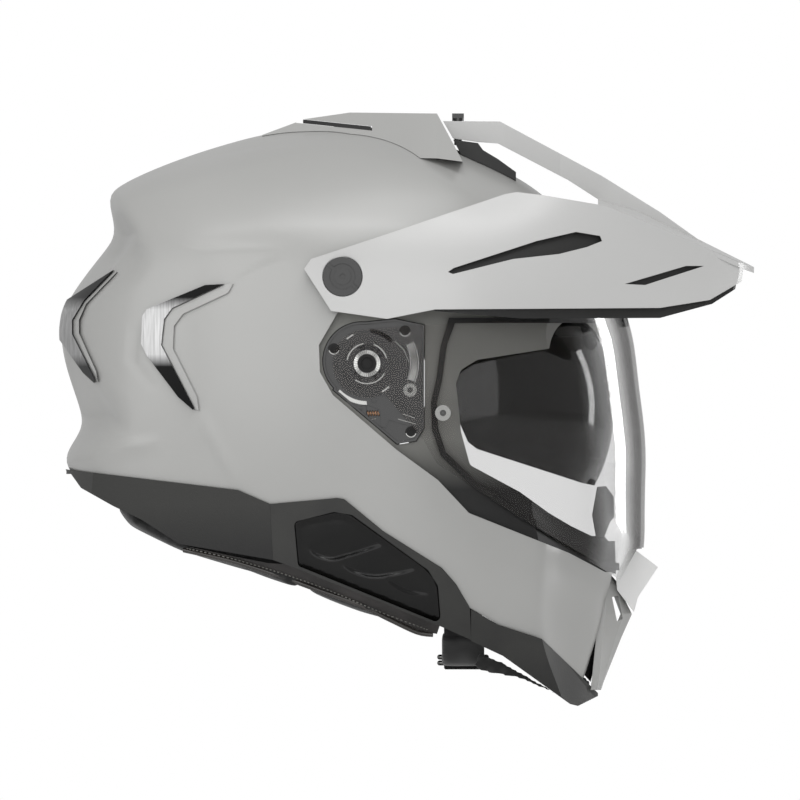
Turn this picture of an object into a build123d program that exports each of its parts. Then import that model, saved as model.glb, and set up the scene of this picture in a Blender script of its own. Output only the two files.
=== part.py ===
from build123d import *
import math
import os

os.makedirs("parts", exist_ok=True)

# A dual sport helmet. It faces +X, +Z is up, +Y is the wearer's left.
# The origin lies midway between the two shield pivots, in the middle of the head.
# All sizes are in millimetres. Outlines are named in the pixels of one side view,
# and at() brings them to real size round the pivot.

# Driving sizes
helmet_length = 407.0
helmet_width = 240.0
view_length_pixels = 703.0
pivot_pixel = (367.0, 363.5)

# Walls and fits
shell_wall = 4.0
trim_wall = 3.0
seat_gap = 0.3
skin_gap = 0.2
seam_gap = 0.4
trim_stand = 1.6
chin_half_width = 20.5
running_fit = 0.05
overrun = 40.0
half_span = helmet_width

# Form of the body
form_depth = 112.0
form_centre_share = (-0.025, -0.05)
form_floor_share = -0.58
plan_centre_share = -0.02
rear_power = 2.1
plan_points = 20
cross_station_share = (-0.54, -0.4, -0.25, -0.125, 0.0, 0.125, 0.25, 0.4, 0.54)

# Height, rear, front and half width of the level sections, and how pointed their fronts are
plan_section_share = [
    (-0.545, -0.356, 0.356, 0.708, 1.7),
    (-0.381, -0.408, 0.400, 0.833, 1.7),
    (-0.256, -0.437, 0.400, 0.925, 1.75),
    (-0.140, -0.447, 0.396, 0.975, 1.85),
    (0.000, -0.447, 0.381, 1.000, 2.0),
    (0.101, -0.435, 0.364, 0.967, 2.0),
    (0.179, -0.408, 0.329, 0.883, 2.0),
    (0.233, -0.381, 0.283, 0.758, 2.0),
    (0.270, -0.334, 0.241, 0.642, 2.0),
    (0.297, -0.256, 0.201, 0.525, 2.0),
    (0.327, -0.189, 0.155, 0.400, 2.0),
    (0.361, -0.123, 0.098, 0.225, 2.0),
]

# Middle profile over the roof and down the front, each point with the spread of its curve
roof_profile_share = [
    ((107, 197), 0.65), ((137, 177), 0.65), ((185, 157.6), 0.65), ((224, 145), 0.65),
    ((263, 135), 0.65), ((311, 128), 0.65), ((365, 127), 0.65), ((418, 136), 0.65),
    ((462, 152), 0.65), ((508, 173), 0.62), ((541, 194), 0.60), ((579, 233), 0.58),
    ((599, 281.6), 0.55), ((606, 320), 0.53), ((613, 362), 0.52), ((619, 440), 0.45),
    ((621, 520), 0.36), ((622, 565), 0.31), ((621, 600), 0.30), ((615, 636), 0.30),
    ((607, 663.7), 0.30), ((602, 681), 0.30), ((597, 700), 0.30),
]
rear_profile_share = [
    ((69, 470), 0.65), ((65, 458), 0.65), ((68.5, 449.5), 0.65), ((77.6, 436), 0.65),
    ((82.6, 421.7), 0.65), ((76.4, 397.5), 0.65), ((66.7, 368), 0.65), ((61.5, 340), 0.65),
    ((62, 322), 0.65), ((67.5, 303), 0.65), ((83, 279), 0.65), ((98.2, 259.3), 0.65),
    ((111.5, 242), 0.65), ((115.3, 230), 0.65), ((112.5, 215), 0.65),
]


def at(pixel):
    """A pixel of the side view as a place in the XZ plane."""
    scale = helmet_length / view_length_pixels
    return ((pixel[0] - pivot_pixel[0]) * scale, (pivot_pixel[1] - pixel[1]) * scale)


def drawn_in(pixel, spread_share, y, inset):
    """A profile point moved towards the middle of the form, further out from its middle plane."""
    x, z = at(pixel)
    spread = spread_share * helmet_width
    depth = form_depth * y * y / (y * y + spread * spread) + inset
    centre_x = form_centre_share[0] * helmet_length
    centre_z = form_centre_share[1] * helmet_length
    away = math.hypot(centre_x - x, centre_z - z)
    return (x + (centre_x - x) / away * depth, z + (centre_z - z) / away * depth)


def plan_outline(section, inset):
    """One level section of the body: an oval with a rounder back than front."""
    _, rear_share, front_share, width_share, front_power = section
    centre = plan_centre_share * helmet_length
    points = []
    for step in range(plan_points):
        angle = 2 * math.pi * step / plan_points
        along, across = math.cos(angle), math.sin(angle)
        power = front_power if along > 0 else rear_power
        end = front_share if along > 0 else rear_share
        length = abs(end * helmet_length - centre) - inset
        width = width_share * helmet_width / 2 - inset
        points.append((
            centre + length * math.copysign(abs(along) ** (2 / power), along),
            width * math.copysign(abs(across) ** (2 / power), across),
        ))
    return points


def even_spline(points, closed=False):
    """A smooth curve with evenly spaced knots, so that the sections of a loft match."""
    spans = len(points) if closed else len(points) - 1
    knots = [step / spans for step in range(spans + 1)]
    return Edge.make_spline([Vector(*point) for point in points], parameters=knots, periodic=closed)


def body_form(inset):
    """The closed form of the helmet's outside, drawn in on all sides by the inset."""
    floor = form_floor_share * helmet_length
    with BuildPart() as crossways:
        for station_share in cross_station_share:
            y = station_share * helmet_width
            roof = [drawn_in(p, spread, y, inset) for p, spread in roof_profile_share]
            rear = [drawn_in(p, spread, y, inset) for p, spread in rear_profile_share]
            with BuildSketch(Plane.XZ.offset(-y)):
                with BuildLine():
                    add(even_spline(rear + [roof[0]]))
                    add(even_spline(roof))
                    Polyline(roof[-1], (roof[-1][0], floor), (rear[0][0], floor), rear[0])
                make_face()
        loft()
    with BuildPart() as form:
        for section in plan_section_share:
            with BuildSketch(Plane.XY.offset(section[0] * helmet_length)):
                with BuildLine():
                    add(even_spline(plan_outline(section, inset), closed=True))
                make_face()
        loft()
        add(crossways.part, mode=Mode.INTERSECT)
    return form.part


def side_prism(pixels, near=-half_span, far=half_span, corner=0.0):
    """A side-view outline pushed across the helmet, between two distances from its middle."""
    with BuildPart() as prism:
        with BuildSketch(Plane.XZ.offset(-far)) as outline:
            with BuildLine():
                Polyline(*[at(pixel) for pixel in pixels], close=True)
            make_face()
            if corner:
                fillet(outline.vertices(), corner)
        extrude(amount=far - near)
    return prism.part


def side_disc(pixel, radius, near=-half_span, far=half_span):
    """A round bar across the helmet about a place in the side view."""
    x, z = at(pixel)
    with BuildPart() as disc:
        with BuildSketch(Plane(origin=(x, far, z), z_dir=(0, -1, 0))):
            Circle(radius)
        extrude(amount=far - near)
    return disc.part


def plan_prism(points, low, high):
    """An outline seen from above, pushed upwards between two heights."""
    with BuildPart() as prism:
        with BuildSketch(Plane.XY.offset(low)):
            with BuildLine():
                Polyline(*points, close=True)
            make_face()
        extrude(amount=high - low)
    return prism.part


# Side-view outlines of the body's pieces, in pixels
shell_pixels = [
    (20, 20), (760, 20), (760, 720), (598, 700), (598, 693), (542, 639), (499, 625), (470, 608),
    (456, 584), (442, 568), (383, 531), (344, 499), (337, 498), (270, 504), (238, 490),
    (79, 471), (20, 463),
]
eye_zone_pixels = [
    (345, 300), (760, 300), (760, 572), (605, 572), (569, 553), (469, 513), (438, 480),
    (397, 450), (333, 395), (320, 372), (319, 345),
]
eye_disc_pixel = (362.0, 361.0)
eye_disc_radius = 24.6
port_pixels = [
    (456, 383), (461, 370), (477, 360), (597, 341), (760, 335), (760, 541), (602, 541),
    (571, 526), (549, 513), (520, 492), (470, 465), (461, 432),
]
port_corner = 4.0
rear_trim_pixels = [
    (20, 463), (79, 471), (238, 490), (270, 504), (273, 560), (179, 544), (142, 520),
    (113, 506), (81, 488), (71, 474), (20, 474),
]
cover_frame_pixels = [
    (270, 504), (337, 498), (344, 499), (383, 531), (442, 568), (456, 584), (470, 608),
    (471, 640), (442, 627), (297, 569), (273, 560),
]
cover_pixels = [
    (294, 522), (334, 512), (352, 515), (428, 570), (438, 586), (441, 624), (298, 566),
]
front_trim_pixels = [
    (471, 609), (499, 625), (542, 639), (598, 693), (598, 696), (578, 706), (570, 704),
    (503, 656), (471, 641),
]
chin_seat_pixels = [(585, 560), (760, 560), (760, 730), (585, 730)]

# Sun visor
visor_pixel = (450, 408)
visor_radius = 95.0
visor_half_width = 99.0
visor_power = 2.4
visor_wall = 2.0
visor_room = 0.9
visor_pin_radius = 3.0
visor_curve_steps = 24
visor_room_pixels = [
    (440, 431), (430, 431), (366, 364), (464, 240), (560, 200), (760, 300), (760, 500),
]
visor_pixels = [
    (436, 330), (640, 318), (640, 490), (602, 487), (582, 483), (477, 449), (468, 442),
    (460, 424), (436, 426),
]

# Impact liner and soft lining round the head
head_length = 208.0
head_width = 160.0
head_height = 190.0
head_centre_pixel = (324, 370)
lining_wall = 8.0
liner_pixels = [
    (20, 20), (700, 20), (700, 333), (475, 333), (412, 345), (402, 440), (384, 470),
    (300, 548), (250, 549), (182, 531), (110, 493), (79, 474), (20, 470),
]
crown_pad_pixels = [
    (40, 40), (700, 40), (700, 330), (470, 330), (380, 420), (250, 440), (150, 430), (40, 430),
]
cheek_pixels = [
    (404, 444), (452, 447), (470, 475), (520, 520), (556, 560), (548, 600), (500, 610),
    (470, 636), (440, 640), (360, 615), (301, 592), (301, 552), (388, 474),
]
cheek_inner = 62.0
neck_roll_pixels = [
    (112, 497), (182, 534), (251, 552), (300, 551), (300, 591), (280, 583), (251, 571),
    (182, 549), (132, 524),
]
chin_liner_pixels = [
    (560, 562), (600, 590), (640, 590), (640, 690), (598, 690), (552, 640),
]
chin_liner_wall = 22.0
fold_wall = 10.5

# Eye port
zone_seat_pixels = [
    (335, 298), (760, 290), (760, 573.5), (606, 573.5), (604, 581), (569, 562), (469, 522), (436, 489),
    (394, 459), (325, 400), (311, 372), (311, 342),
]
zone_clear_pixels = [
    (333, 295), (760, 287), (760, 593), (605, 584), (569, 565), (468, 525), (435, 492),
    (392, 462), (323, 401), (308, 373), (308, 341),
]
gasket_outer_pixels = [
    (449, 318), (441, 345), (436, 380), (431, 402), (432, 430), (441, 456), (472, 486),
    (520, 518), (606, 568), (760, 600), (760, 318),
]
gasket_inner_pixels = [
    (455, 323), (447, 345), (442, 381), (437, 403), (438, 428), (446, 452), (476, 481),
    (523, 512), (608, 561), (770, 592), (770, 323),
]
guard_top_pixels = [
    (597, 487), (606, 486), (622, 508), (610, 522), (604, 538), (596, 538), (592, 515),
]
guard_base_pixels = [
    (588, 536), (604, 536), (612, 545), (600, 560), (584, 552),
]
guard_half_width = 34.0

# Shield
shield_stand_off = 3.2
shield_wall = 2.2
shield_power = 2.2
shield_section_share = [
    (0.091, 0.3636, 1.0), (0.065, 0.3705, 1.0), (-0.0135, 0.3848, 1.0), (-0.0705, 0.3919, 1.0),
    (-0.1177, 0.3961, 0.998), (-0.1646, 0.3961, 0.985), (-0.2430, 0.3949, 0.94),
    (-0.2801, 0.3907, 0.90), (-0.3440, 0.3833, 0.84),
]
shield_back_share = -0.09
shield_curve_points = 15
shield_pixels = [
    (367, 329), (421, 325), (600, 315), (760, 314), (760, 545), (637, 549), (620, 580),
    (606, 571), (566, 547), (437, 464), (424, 441), (384, 393),
]
shield_ear_radius = 20.0
shield_rim_stand = 0.9
beak_room_half_width = 16.5
beak_room_pixels = [(610, 549), (700, 545), (700, 600), (610, 600)]

# Pivot mechanism in the ear, by its depth from the middle plane
plate_depth = 108.5
plate_wall = 3.0
plate_rim_wall = 1.4
plate_rim_height = 2.6
plate_disc_radius = 22.6
plate_pixels = [
    (361, 322.5), (395, 319), (424, 325), (424, 428), (416, 441), (397, 444), (333, 390),
]
hub_radius = 8.0
hub_bore = 5.2
gear_gap = 0.3
gear_wall = 3.4
gear_radius = 17.2
gear_notch_radius = 1.5
gear_notches = 9
gear_notch_step = 9.0
gear_first_notch = 200.0
gear_rib_radius = 13.2
gear_rib_wall = 1.2
gear_rib_height = 1.4
ear_boss_wall = 3.0
slot_arc_pixel = (385, 364)
slot_arc_radius = 19.5
slot_width = 5.0
slot_arc_start = -42.0
slot_arc_sweep = 84.0
plate_screw_pixels = [(405, 331), (334, 349), (411, 432)]
screw_head_radius = 3.3
screw_head_height = 1.8
guide_screw_pixel = (410, 390)
guide_screw_radius = 4.0
screw_socket_radius = 1.5
screw_socket_depth = 1.0
lever_pixels = [
    (366, 396), (386, 396), (396, 404), (418, 419), (419, 428), (398, 423), (389, 420),
    (386, 428), (381, 427), (380, 410), (367, 405),
]
lever_pin_pixel = (374, 400)
lever_pin_radius = 1.5
lever_wall = 2.4
spring_seat_pixels = [(362, 405.6), (366.4, 405.6), (366.4, 418), (362, 413.8)]
spring_wire = 0.5
spring_radius = 1.5
spring_turns = 5
pinlock_pixel = (443, 413)
pinlock_radius = 4.6
pinlock_depth = 4.6
pinlock_socket = 1.6

# Roof
roof_cover_stations_share = [
    ((262, 135), 0.050, 0.092), ((305, 119), 0.054, 0.112), ((350, 112.5), 0.070, 0.138),
    ((437, 113.5), 0.083, 0.158), ((472, 118), 0.086, 0.162),
]
roof_cover_pixels = [
    (262, 134.5), (305, 119), (319, 115), (350, 112), (437, 113.5), (463, 162), (463, 200),
    (262, 200),
]
roof_slot_pixels = [(296, 118.4), (372, 126.2), (372, 130.6), (296, 122.8)]
roof_slider_pixels = [(303, 119.4), (371, 126.4), (371, 130.3), (303, 123.3)]
crown_vent_pixels = [
    (453, 139.5), (478, 143), (483, 150), (498, 159), (516, 172), (516, 190), (465, 190),
    (465, 162),
]
crown_vent_half_width = 21.0

# Peak: place along the helmet, then the half widths low, midway and high
peak_stations_share = [
    (290, 1.058, 0.967, 0.800), (331, 1.0625, 0.977, 0.815), (387, 1.075, 0.995, 0.822),
    (437, 1.062, 0.985, 0.790), (517, 0.962, 0.890, 0.710), (607, 0.765, 0.690, 0.600),
    (700, 0.517, 0.425, 0.383), (766, 0.375, 0.300, 0.267),
]
peak_low_pixel = 323.0
peak_mid_pixel = 256.0
peak_high_pixel = 190.0
peak_wall = 3.0
liner_skin_wall = 1.5
peak_side_pixels = [
    (304, 269), (311, 259), (387, 234), (437, 217), (505, 194), (517, 192), (542, 195),
    (607, 206), (640, 219), (700, 245), (747, 265), (759, 271), (759, 277), (751, 276),
    (710, 300), (660, 308), (435, 309.5), (387, 319), (331, 311),
]
peak_liner_pixels = [
    (400, 300), (436, 285), (446, 262), (540, 230), (606, 225), (660, 250), (735, 271),
    (751, 279), (712, 304), (660, 318), (520, 318.5), (436, 311),
]
peak_slot_pixels = [
    (448, 272), (454, 268), (537, 241), (576, 232), (600, 236), (602, 241), (587, 247),
    (559, 254), (513, 259), (453, 274),
]
peak_front_slot_pixels = [(625, 284), (686, 266), (704, 266), (645, 285)]
deck_edge_pixels = [(598, 204.5), (640, 219), (700, 245), (754, 269)]
deck_inner_pixels = [(598, 199), (640, 211), (700, 240), (754, 267)]
deck_wall = 3.0
deck_inner_half_width = 11.0
peak_front_half_width = 60.0
peak_front_pixel = 712.0
strut_pixels = [
    (443, 121), (500, 121.5), (602, 176), (660, 212), (702, 242), (702, 246), (655, 224),
    (610, 207), (568, 180), (498, 143.5), (477, 142), (453, 138.5),
]
strut_half_width_share = [(436, 0.165), (505, 0.135), (560, 0.095), (620, 0.115), (706, 0.20)]
side_screw_pixel = (342.5, 276.5)
collar_radius = 11.4
collar_height = 3.2
collar_recess_radius = 7.4
side_screw_radius = 5.0
side_screw_height = 2.4
side_shank_radius = 3.0
collar_slot_width = 2.2
top_screw_pixel = (458, 117)
top_screw_seat_pixel = (458, 121.0)
crown_hole_low_pixel = (458, 150)
top_screw_radius = 3.4
top_screw_height = 1.8
top_fin_height = 2.6
top_fin_wall = 1.6

# Fins on the back and on the sides, by the nearest they come to the middle plane
fin_stand = 2.4
fin_frame_stand = 1.2
side_fin_pixels = [
    (224, 284), (205, 285), (147, 309), (142, 316), (141, 344), (147, 356), (178, 397),
    (193, 410), (194, 408), (161, 345), (164, 319), (172, 308),
]
side_fin_frame_pixels = [
    (226, 284), (172.5, 309), (165, 320), (162.2, 345), (195, 409), (199, 411), (197, 397),
    (173, 349), (174, 326), (183, 314), (228, 293), (233, 284),
]
back_fin_pixels = [
    (113, 270), (60, 304), (50, 327), (58, 338), (83, 373), (94, 383), (95, 380), (72, 334),
    (72, 320), (84, 300),
]
back_fin_frame_pixels = [
    (115, 271), (85.3, 301), (73.2, 320.5), (73.2, 334), (96, 381), (98, 382), (96, 371),
    (79, 333), (79, 320), (86, 304), (117, 272),
]
back_fin_inner = 16.0

# Chin: height in the view, then the middle, shoulder and seam places of the panel
chin_panel_stations = [
    (576, 612, 609, 601), (584, 619, 615, 604), (600, 625, 620, 606), (614, 632, 624, 605.5),
    (636, 622, 616, 603), (681, 604, 603, 598.5), (690, 601, 600, 597),
]
chin_middle_half_width = 4.0
chin_shoulder_half_width = 11.0
chin_panel_wall = 4.0
chin_slot_pixels = [(612, 597), (618, 596), (622.5, 619), (617, 621)]
chin_slot_inner = 8.0
shutter_pixels = [(607, 606), (610.5, 606), (610.5, 627), (607, 627)]
shutter_room_pixels = [(605.5, 588), (640, 588), (640, 628.5), (605.5, 628.5)]
shutter_half_width = 10.5
shutter_room_half_width = 11.5
beak_pixels = [
    (628, 551), (634, 549), (658, 567), (650, 579), (638, 597), (634, 612), (617, 590),
    (616, 577),
]
beak_root_pixel = 616.0
beak_tip_pixel = 660.0
beak_root_half_width = 15.0
beak_tip_half_width = 7.0

# Chin strap
strap_width = 22.0
strap_wall = 2.0
strap_top_pixel = (463, 596)
strap_low_pixel = (463, 660)
strap_pad_top_pixel = (463, 634)
strap_anchor_radius = 7.0
strap_side = 80.0
strap_bend = 26.0
strap_anchor_pixel = (463, 606)
ring_wire = 3.0
ring_bar_place = 8.0
ring_lift = 0.4
ring_inner_length = 24.0
ring_corner = 2.6
strap_loop_room = 0.3
snap_place = 26.0
strap_pad_wall = 8.0
strap_pad_width = 26.0
strap_pad_end = 36.0
snap_radius = 6.0
snap_height = 2.6
curtain_pixels = [
    (478, 652), (503, 662), (556, 692), (574, 676), (600, 672), (600, 690), (578, 701),
    (548, 691), (520, 679), (483, 672), (474, 667),
]

# Last fits between the pieces above
gasket_stand = 2.2
cover_corner = 3.0
cover_inner_pixels = [
    (295, 523), (334, 513), (352, 516), (427.5, 571), (437, 586), (440, 623.5), (299, 565.5),
]
roof_cover_drop = 13.0
top_shank_radius = 2.2
top_shank_length = 14.0
peak_tip_pixel = 759.0
side_seat_depth = 117.8
side_shank_length = 6.0
collar_slot_turn = 40.0
lever_room = 0.4
spring_start_pixel = (366.9, 413.3)
spring_end_pixel = (379.5, 413.3)
hub_sink = 1.0
hub_cup_radius = 3.6
hub_cup_depth = 3.0
pinlock_sink = 1.6
visor_pin_length = 2.6
slider_pixel = (230, 513)
rim_depth = 106.4
rim_gap = 0.5
rim_turn = 16.0
slider_length = 12.0
slider_width = 6.0
slider_height = 3.0
slider_neck = 6.0
slider_neck_width = 3.0
slider_neck_length = 5.0
slider_travel = 14.0

body_outer = body_form(0.0)
body_inner = body_form(shell_wall)
body_proud = body_form(-trim_stand)
body_skin = body_form(-skin_gap)
body_liner = body_form(shell_wall + seat_gap)


def finish(piece, name):
    """Label a piece and write it out under its own name."""
    piece.part.label = name
    export_step(piece.part, "parts/" + name + ".step")
    print(name, len(piece.part.solids()), "solids,", round(piece.part.volume), "cubic mm")


def body_skin_piece(outside, inside, pixels, near=-half_span, far=half_span, corner=0.0):
    """The layer between two body forms, inside a side-view outline."""
    with BuildPart() as piece:
        add(side_prism(pixels, near, far, corner))
        add(outside, mode=Mode.INTERSECT)
        add(inside, mode=Mode.SUBTRACT)
    return piece.part


body_pad = body_form(shell_wall + trim_wall + 2 * seat_gap)
body_flange = body_form(shell_wall + seat_gap + trim_wall)
body_fold = body_form(fold_wall)


def both_sides(piece):
    """A piece of the right side together with its mirror image on the left."""
    with BuildPart() as pair:
        add(piece)
        mirror(piece, about=Plane.XZ)
    return pair.part


def revolved_shell(radius, half_width, power, outside, inside):
    """A round shell about a crossways axis through zero, thickest on the middle plane."""
    def curve(step_back):
        reach, width = radius - step_back, half_width - step_back
        points = []
        for step in range(visor_curve_steps + 1):
            angle = math.pi * step / visor_curve_steps
            across, along = math.cos(angle), abs(math.sin(angle))
            points.append((
                reach * along ** (2 / power),
                width * math.copysign(abs(across) ** (2 / power), across),
            ))
        return points
    with BuildPart() as form:
        with BuildSketch(Plane.XY):
            with BuildLine():
                outer = curve(outside)
                add(even_spline(outer))
                if inside is None:
                    Line(outer[-1], outer[0])
                else:
                    inner = curve(inside)
                    add(even_spline(inner))
                    Line(outer[0], inner[0])
                    Line(outer[-1], inner[-1])
            make_face()
        revolve(axis=Axis.Y)
    return form.part


def moved_to(piece, pixel):
    """A piece that was made about the middle, moved to a place in the side view."""
    x, z = at(pixel)
    return Pos(x, 0, z) * piece


# Sun visor, a smoked lens on a crossways axis, and the room that it sweeps through
visor_lens = moved_to(
    revolved_shell(visor_radius, visor_half_width, visor_power, 0.0, visor_wall), visor_pixel)
visor_sweep = moved_to(
    revolved_shell(visor_radius, visor_half_width, visor_power, -visor_room, None), visor_pixel)
with BuildPart() as visor_pocket:
    add(moved_to(revolved_shell(visor_radius, visor_half_width, visor_power, -visor_room,
                                visor_wall + visor_room), visor_pixel))
    add(side_prism(visor_room_pixels), mode=Mode.INTERSECT)

with BuildPart() as sun_visor:
    add(visor_lens)
    add(side_prism(visor_pixels), mode=Mode.INTERSECT)
    with Locations(Pos(*[at(visor_pixel)[0], 0, at(visor_pixel)[1]])):
        Cylinder(visor_pin_radius + running_fit, 2 * half_span, rotation=(90, 0, 0),
                 mode=Mode.SUBTRACT)
finish(sun_visor, "sun_visor")

# Painted shell, open at the eye zone, at the seats of its trims and at the chin panel
with BuildPart() as shell:
    add(body_outer)
    add(body_inner, mode=Mode.SUBTRACT)
    add(side_prism(shell_pixels), mode=Mode.INTERSECT)
    add(side_prism(eye_zone_pixels), mode=Mode.SUBTRACT)
    add(side_disc(eye_disc_pixel, eye_disc_radius), mode=Mode.SUBTRACT)
    add(side_prism(chin_seat_pixels, -chin_half_width, chin_half_width), mode=Mode.SUBTRACT)
    add(side_disc(side_screw_pixel, side_shank_radius + running_fit), mode=Mode.SUBTRACT)
finish(shell, "shell")

# Slider for the sun visor on the left rim, turned to follow the curve of the trim
slider_place = Pos(at(slider_pixel)[0], rim_depth, at(slider_pixel)[1]) * Rot(0, 0, rim_turn)
with BuildPart() as slider_part:
    with Locations((0, rim_gap, 0)):
        Box(slider_length, slider_height, slider_width,
            align=(Align.CENTER, Align.MIN, Align.CENTER))
    fillet(slider_part.faces().sort_by(Axis.Y)[-1].edges(), slider_height / 3)
    with Locations((0, rim_gap, 0)):
        Box(slider_neck, slider_neck_length, slider_neck_width,
            align=(Align.CENTER, Align.MAX, Align.CENTER))
with BuildPart() as slider_slot:
    Box(slider_travel + slider_neck + 2 * seat_gap, overrun, slider_neck_width + 2 * seat_gap)
with BuildPart() as visor_slider:
    add(slider_place * slider_part.part)
finish(visor_slider, "visor_slider")

# Matte lower trims, standing a little proud of the shell
with BuildPart() as rear_trim:
    add(body_skin_piece(body_proud, body_inner, rear_trim_pixels))
    add(slider_place * Pos(-slider_travel / 2, 0, 0) * slider_slot.part, mode=Mode.SUBTRACT)
finish(rear_trim, "rear_trim")

with BuildPart() as front_trim:
    add(body_skin_piece(body_proud, body_inner, front_trim_pixels))
finish(front_trim, "front_trim")


def head_form(inset):
    """The room for the head: an egg over the crown that runs straight down past the neck."""
    x, z = at(head_centre_pixel)
    length, width = head_length / 2 - inset, head_width / 2 - inset
    with BuildPart() as egg:
        Sphere(1)
        scale(by=(length, width, head_height / 2 - inset))
    with BuildPart() as room:
        add(Pos(x, 0, z) * egg.part)
        with BuildSketch(Plane(origin=(x, 0, z), x_dir=(1, 0, 0), z_dir=(0, 0, -1))):
            Ellipse(length, width)
        extrude(amount=helmet_length)
    return room.part


def ear_bar(pixel, radius, near, far, bore=0.0):
    """A round bar or tube on the right ear, between two depths from the middle plane."""
    x, z = at(pixel)
    with BuildPart() as bar:
        with BuildSketch(Plane(origin=(x, -near, z), x_dir=(1, 0, 0), z_dir=(0, -1, 0))):
            Circle(radius)
            if bore:
                Circle(bore, mode=Mode.SUBTRACT)
        extrude(amount=far - near)
    return bar.part


def plate_outline(growth):
    """The sketch of the pivot plate: a disc round the pivot with a tail down the cheek."""
    x, z = at(eye_disc_pixel)
    with BuildSketch(Plane.XZ) as outline:
        with BuildLine():
            Polyline(*[at(pixel) for pixel in plate_pixels], close=True)
        make_face()
        with Locations((x, z)):
            Circle(plate_disc_radius)
        offset(amount=growth, kind=Kind.INTERSECTION)
    return outline.sketch


def plate_prism(growth, near, far):
    """The pivot plate's outline on the right ear, between two depths."""
    with BuildPart() as prism:
        with BuildSketch(Plane.XZ.offset(near)):
            add(plate_outline(growth))
        extrude(amount=far - near)
    return prism.part


plate_room = both_sides(plate_prism(seam_gap, plate_depth - seam_gap, half_span))
slab_depth = plate_depth + plate_wall

# Foam liner that takes the impact, hollowed for the head, the visor pocket and the plates
with BuildPart() as liner_body:
    add(body_liner)
    add(side_prism(zone_clear_pixels), mode=Mode.SUBTRACT)
    add(side_prism(liner_pixels), mode=Mode.INTERSECT)
    add(head_form(0.0), mode=Mode.SUBTRACT)
with BuildPart() as liner_zone:
    add(side_prism(zone_clear_pixels))
    add(side_prism(liner_pixels), mode=Mode.INTERSECT)
    add(body_pad, mode=Mode.INTERSECT)
    add(head_form(0.0), mode=Mode.SUBTRACT)
with BuildPart() as impact_liner:
    add(liner_body.part)
    add(liner_zone.part)
    add(visor_pocket.part, mode=Mode.SUBTRACT)
    add(plate_room, mode=Mode.SUBTRACT)
finish(impact_liner, "impact_liner")

with BuildPart() as chin_liner:
    add(side_prism(chin_liner_pixels))
    add(body_pad, mode=Mode.INTERSECT)
    add(body_form(chin_liner_wall), mode=Mode.SUBTRACT)
    add(side_prism(shutter_room_pixels, -shutter_room_half_width, shutter_room_half_width),
        mode=Mode.SUBTRACT)
finish(chin_liner, "chin_liner")

# Soft lining
with BuildPart() as crown_pad:
    add(head_form(seat_gap))
    add(head_form(lining_wall), mode=Mode.SUBTRACT)
    add(side_prism(crown_pad_pixels), mode=Mode.INTERSECT)
finish(crown_pad, "crown_pad")

strap_x = at(strap_top_pixel)[0]
strap_line = [
    (-strap_side, at(strap_top_pixel)[1]),
    (-strap_side, at(strap_low_pixel)[1] + strap_bend),
    (-strap_side + strap_bend, at(strap_low_pixel)[1]),
    (-ring_bar_place, at(strap_low_pixel)[1]),
]


pad_rise = at(strap_pad_top_pixel)[1] - at(strap_low_pixel)[1]
strap_pad_line = [
    (-strap_side + strap_bend - pad_rise, at(strap_pad_top_pixel)[1]),
    (-strap_side + strap_bend, at(strap_low_pixel)[1]),
    (-strap_pad_end, at(strap_low_pixel)[1]),
]


def strap_band(thickness, width, points):
    """A band of webbing of the right side, along a bent line across the helmet."""
    with BuildPart() as band:
        with BuildSketch(Plane(origin=(strap_x, 0, 0), x_dir=(0, 1, 0), z_dir=(1, 0, 0))):
            with BuildLine() as line:
                FilletPolyline(*points, radius=strap_bend / 2)
            trace(line.line, line_width=thickness)
        extrude(amount=width / 2, both=True)
    return band.part


with BuildPart() as cheek_pad_right:
    add(side_prism(cheek_pixels, -half_span, -cheek_inner))
    add(body_pad, mode=Mode.INTERSECT)
    with Locations((strap_x, -strap_side - half_span / 2 + strap_wall / 2 + seat_gap, 0)):
        Box(strap_width + 2 * seat_gap, half_span, 2 * half_span, mode=Mode.SUBTRACT)
    with Locations((strap_x, 0, at(strap_low_pixel)[1] + strap_bend + strap_pad_wall)):
        Box(strap_pad_width + 2 * seat_gap, 2 * half_span, half_span,
            align=(Align.CENTER, Align.CENTER, Align.MAX), mode=Mode.SUBTRACT)
finish(cheek_pad_right, "cheek_pad_right")
with BuildPart() as cheek_pad_left:
    mirror(cheek_pad_right.part, about=Plane.XZ)
finish(cheek_pad_left, "cheek_pad_left")

with BuildPart() as neck_roll:
    add(side_prism(neck_roll_pixels))
    add(body_liner, mode=Mode.INTERSECT)
    add(head_form(lining_wall), mode=Mode.SUBTRACT)
finish(neck_roll, "neck_roll")

with BuildPart() as chin_curtain:
    add(body_skin_piece(body_pad, body_fold, curtain_pixels))
    add(chin_liner.part, mode=Mode.SUBTRACT)
finish(chin_curtain, "chin_curtain")

# Chin strap: webbing, sleeves, anchors and the pair of rings
ring_z = at(strap_low_pixel)[1]
loop_height = 2 * ring_wire + ring_lift + 2 * strap_loop_room
with BuildPart() as strap_right:
    add(strap_band(strap_wall, strap_width, strap_line))
    with BuildSketch(Plane(origin=(strap_x, -ring_bar_place, ring_z), x_dir=(0, 1, 0),
                           z_dir=(1, 0, 0))):
        SlotOverall(loop_height + 2 * strap_wall, ring_wire + 2 * strap_loop_room + 2 * strap_wall,
                    rotation=90)
    extrude(amount=ring_inner_length / 2 - seat_gap, both=True)
    with BuildSketch(Plane(origin=(strap_x, -ring_bar_place, ring_z), x_dir=(0, 1, 0),
                           z_dir=(1, 0, 0))):
        SlotOverall(loop_height, ring_wire + 2 * strap_loop_room, rotation=90)
    extrude(amount=half_span, both=True, mode=Mode.SUBTRACT)
with BuildPart() as strap_webbing:
    add(both_sides(strap_right.part))
finish(strap_webbing, "strap_webbing")

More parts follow.
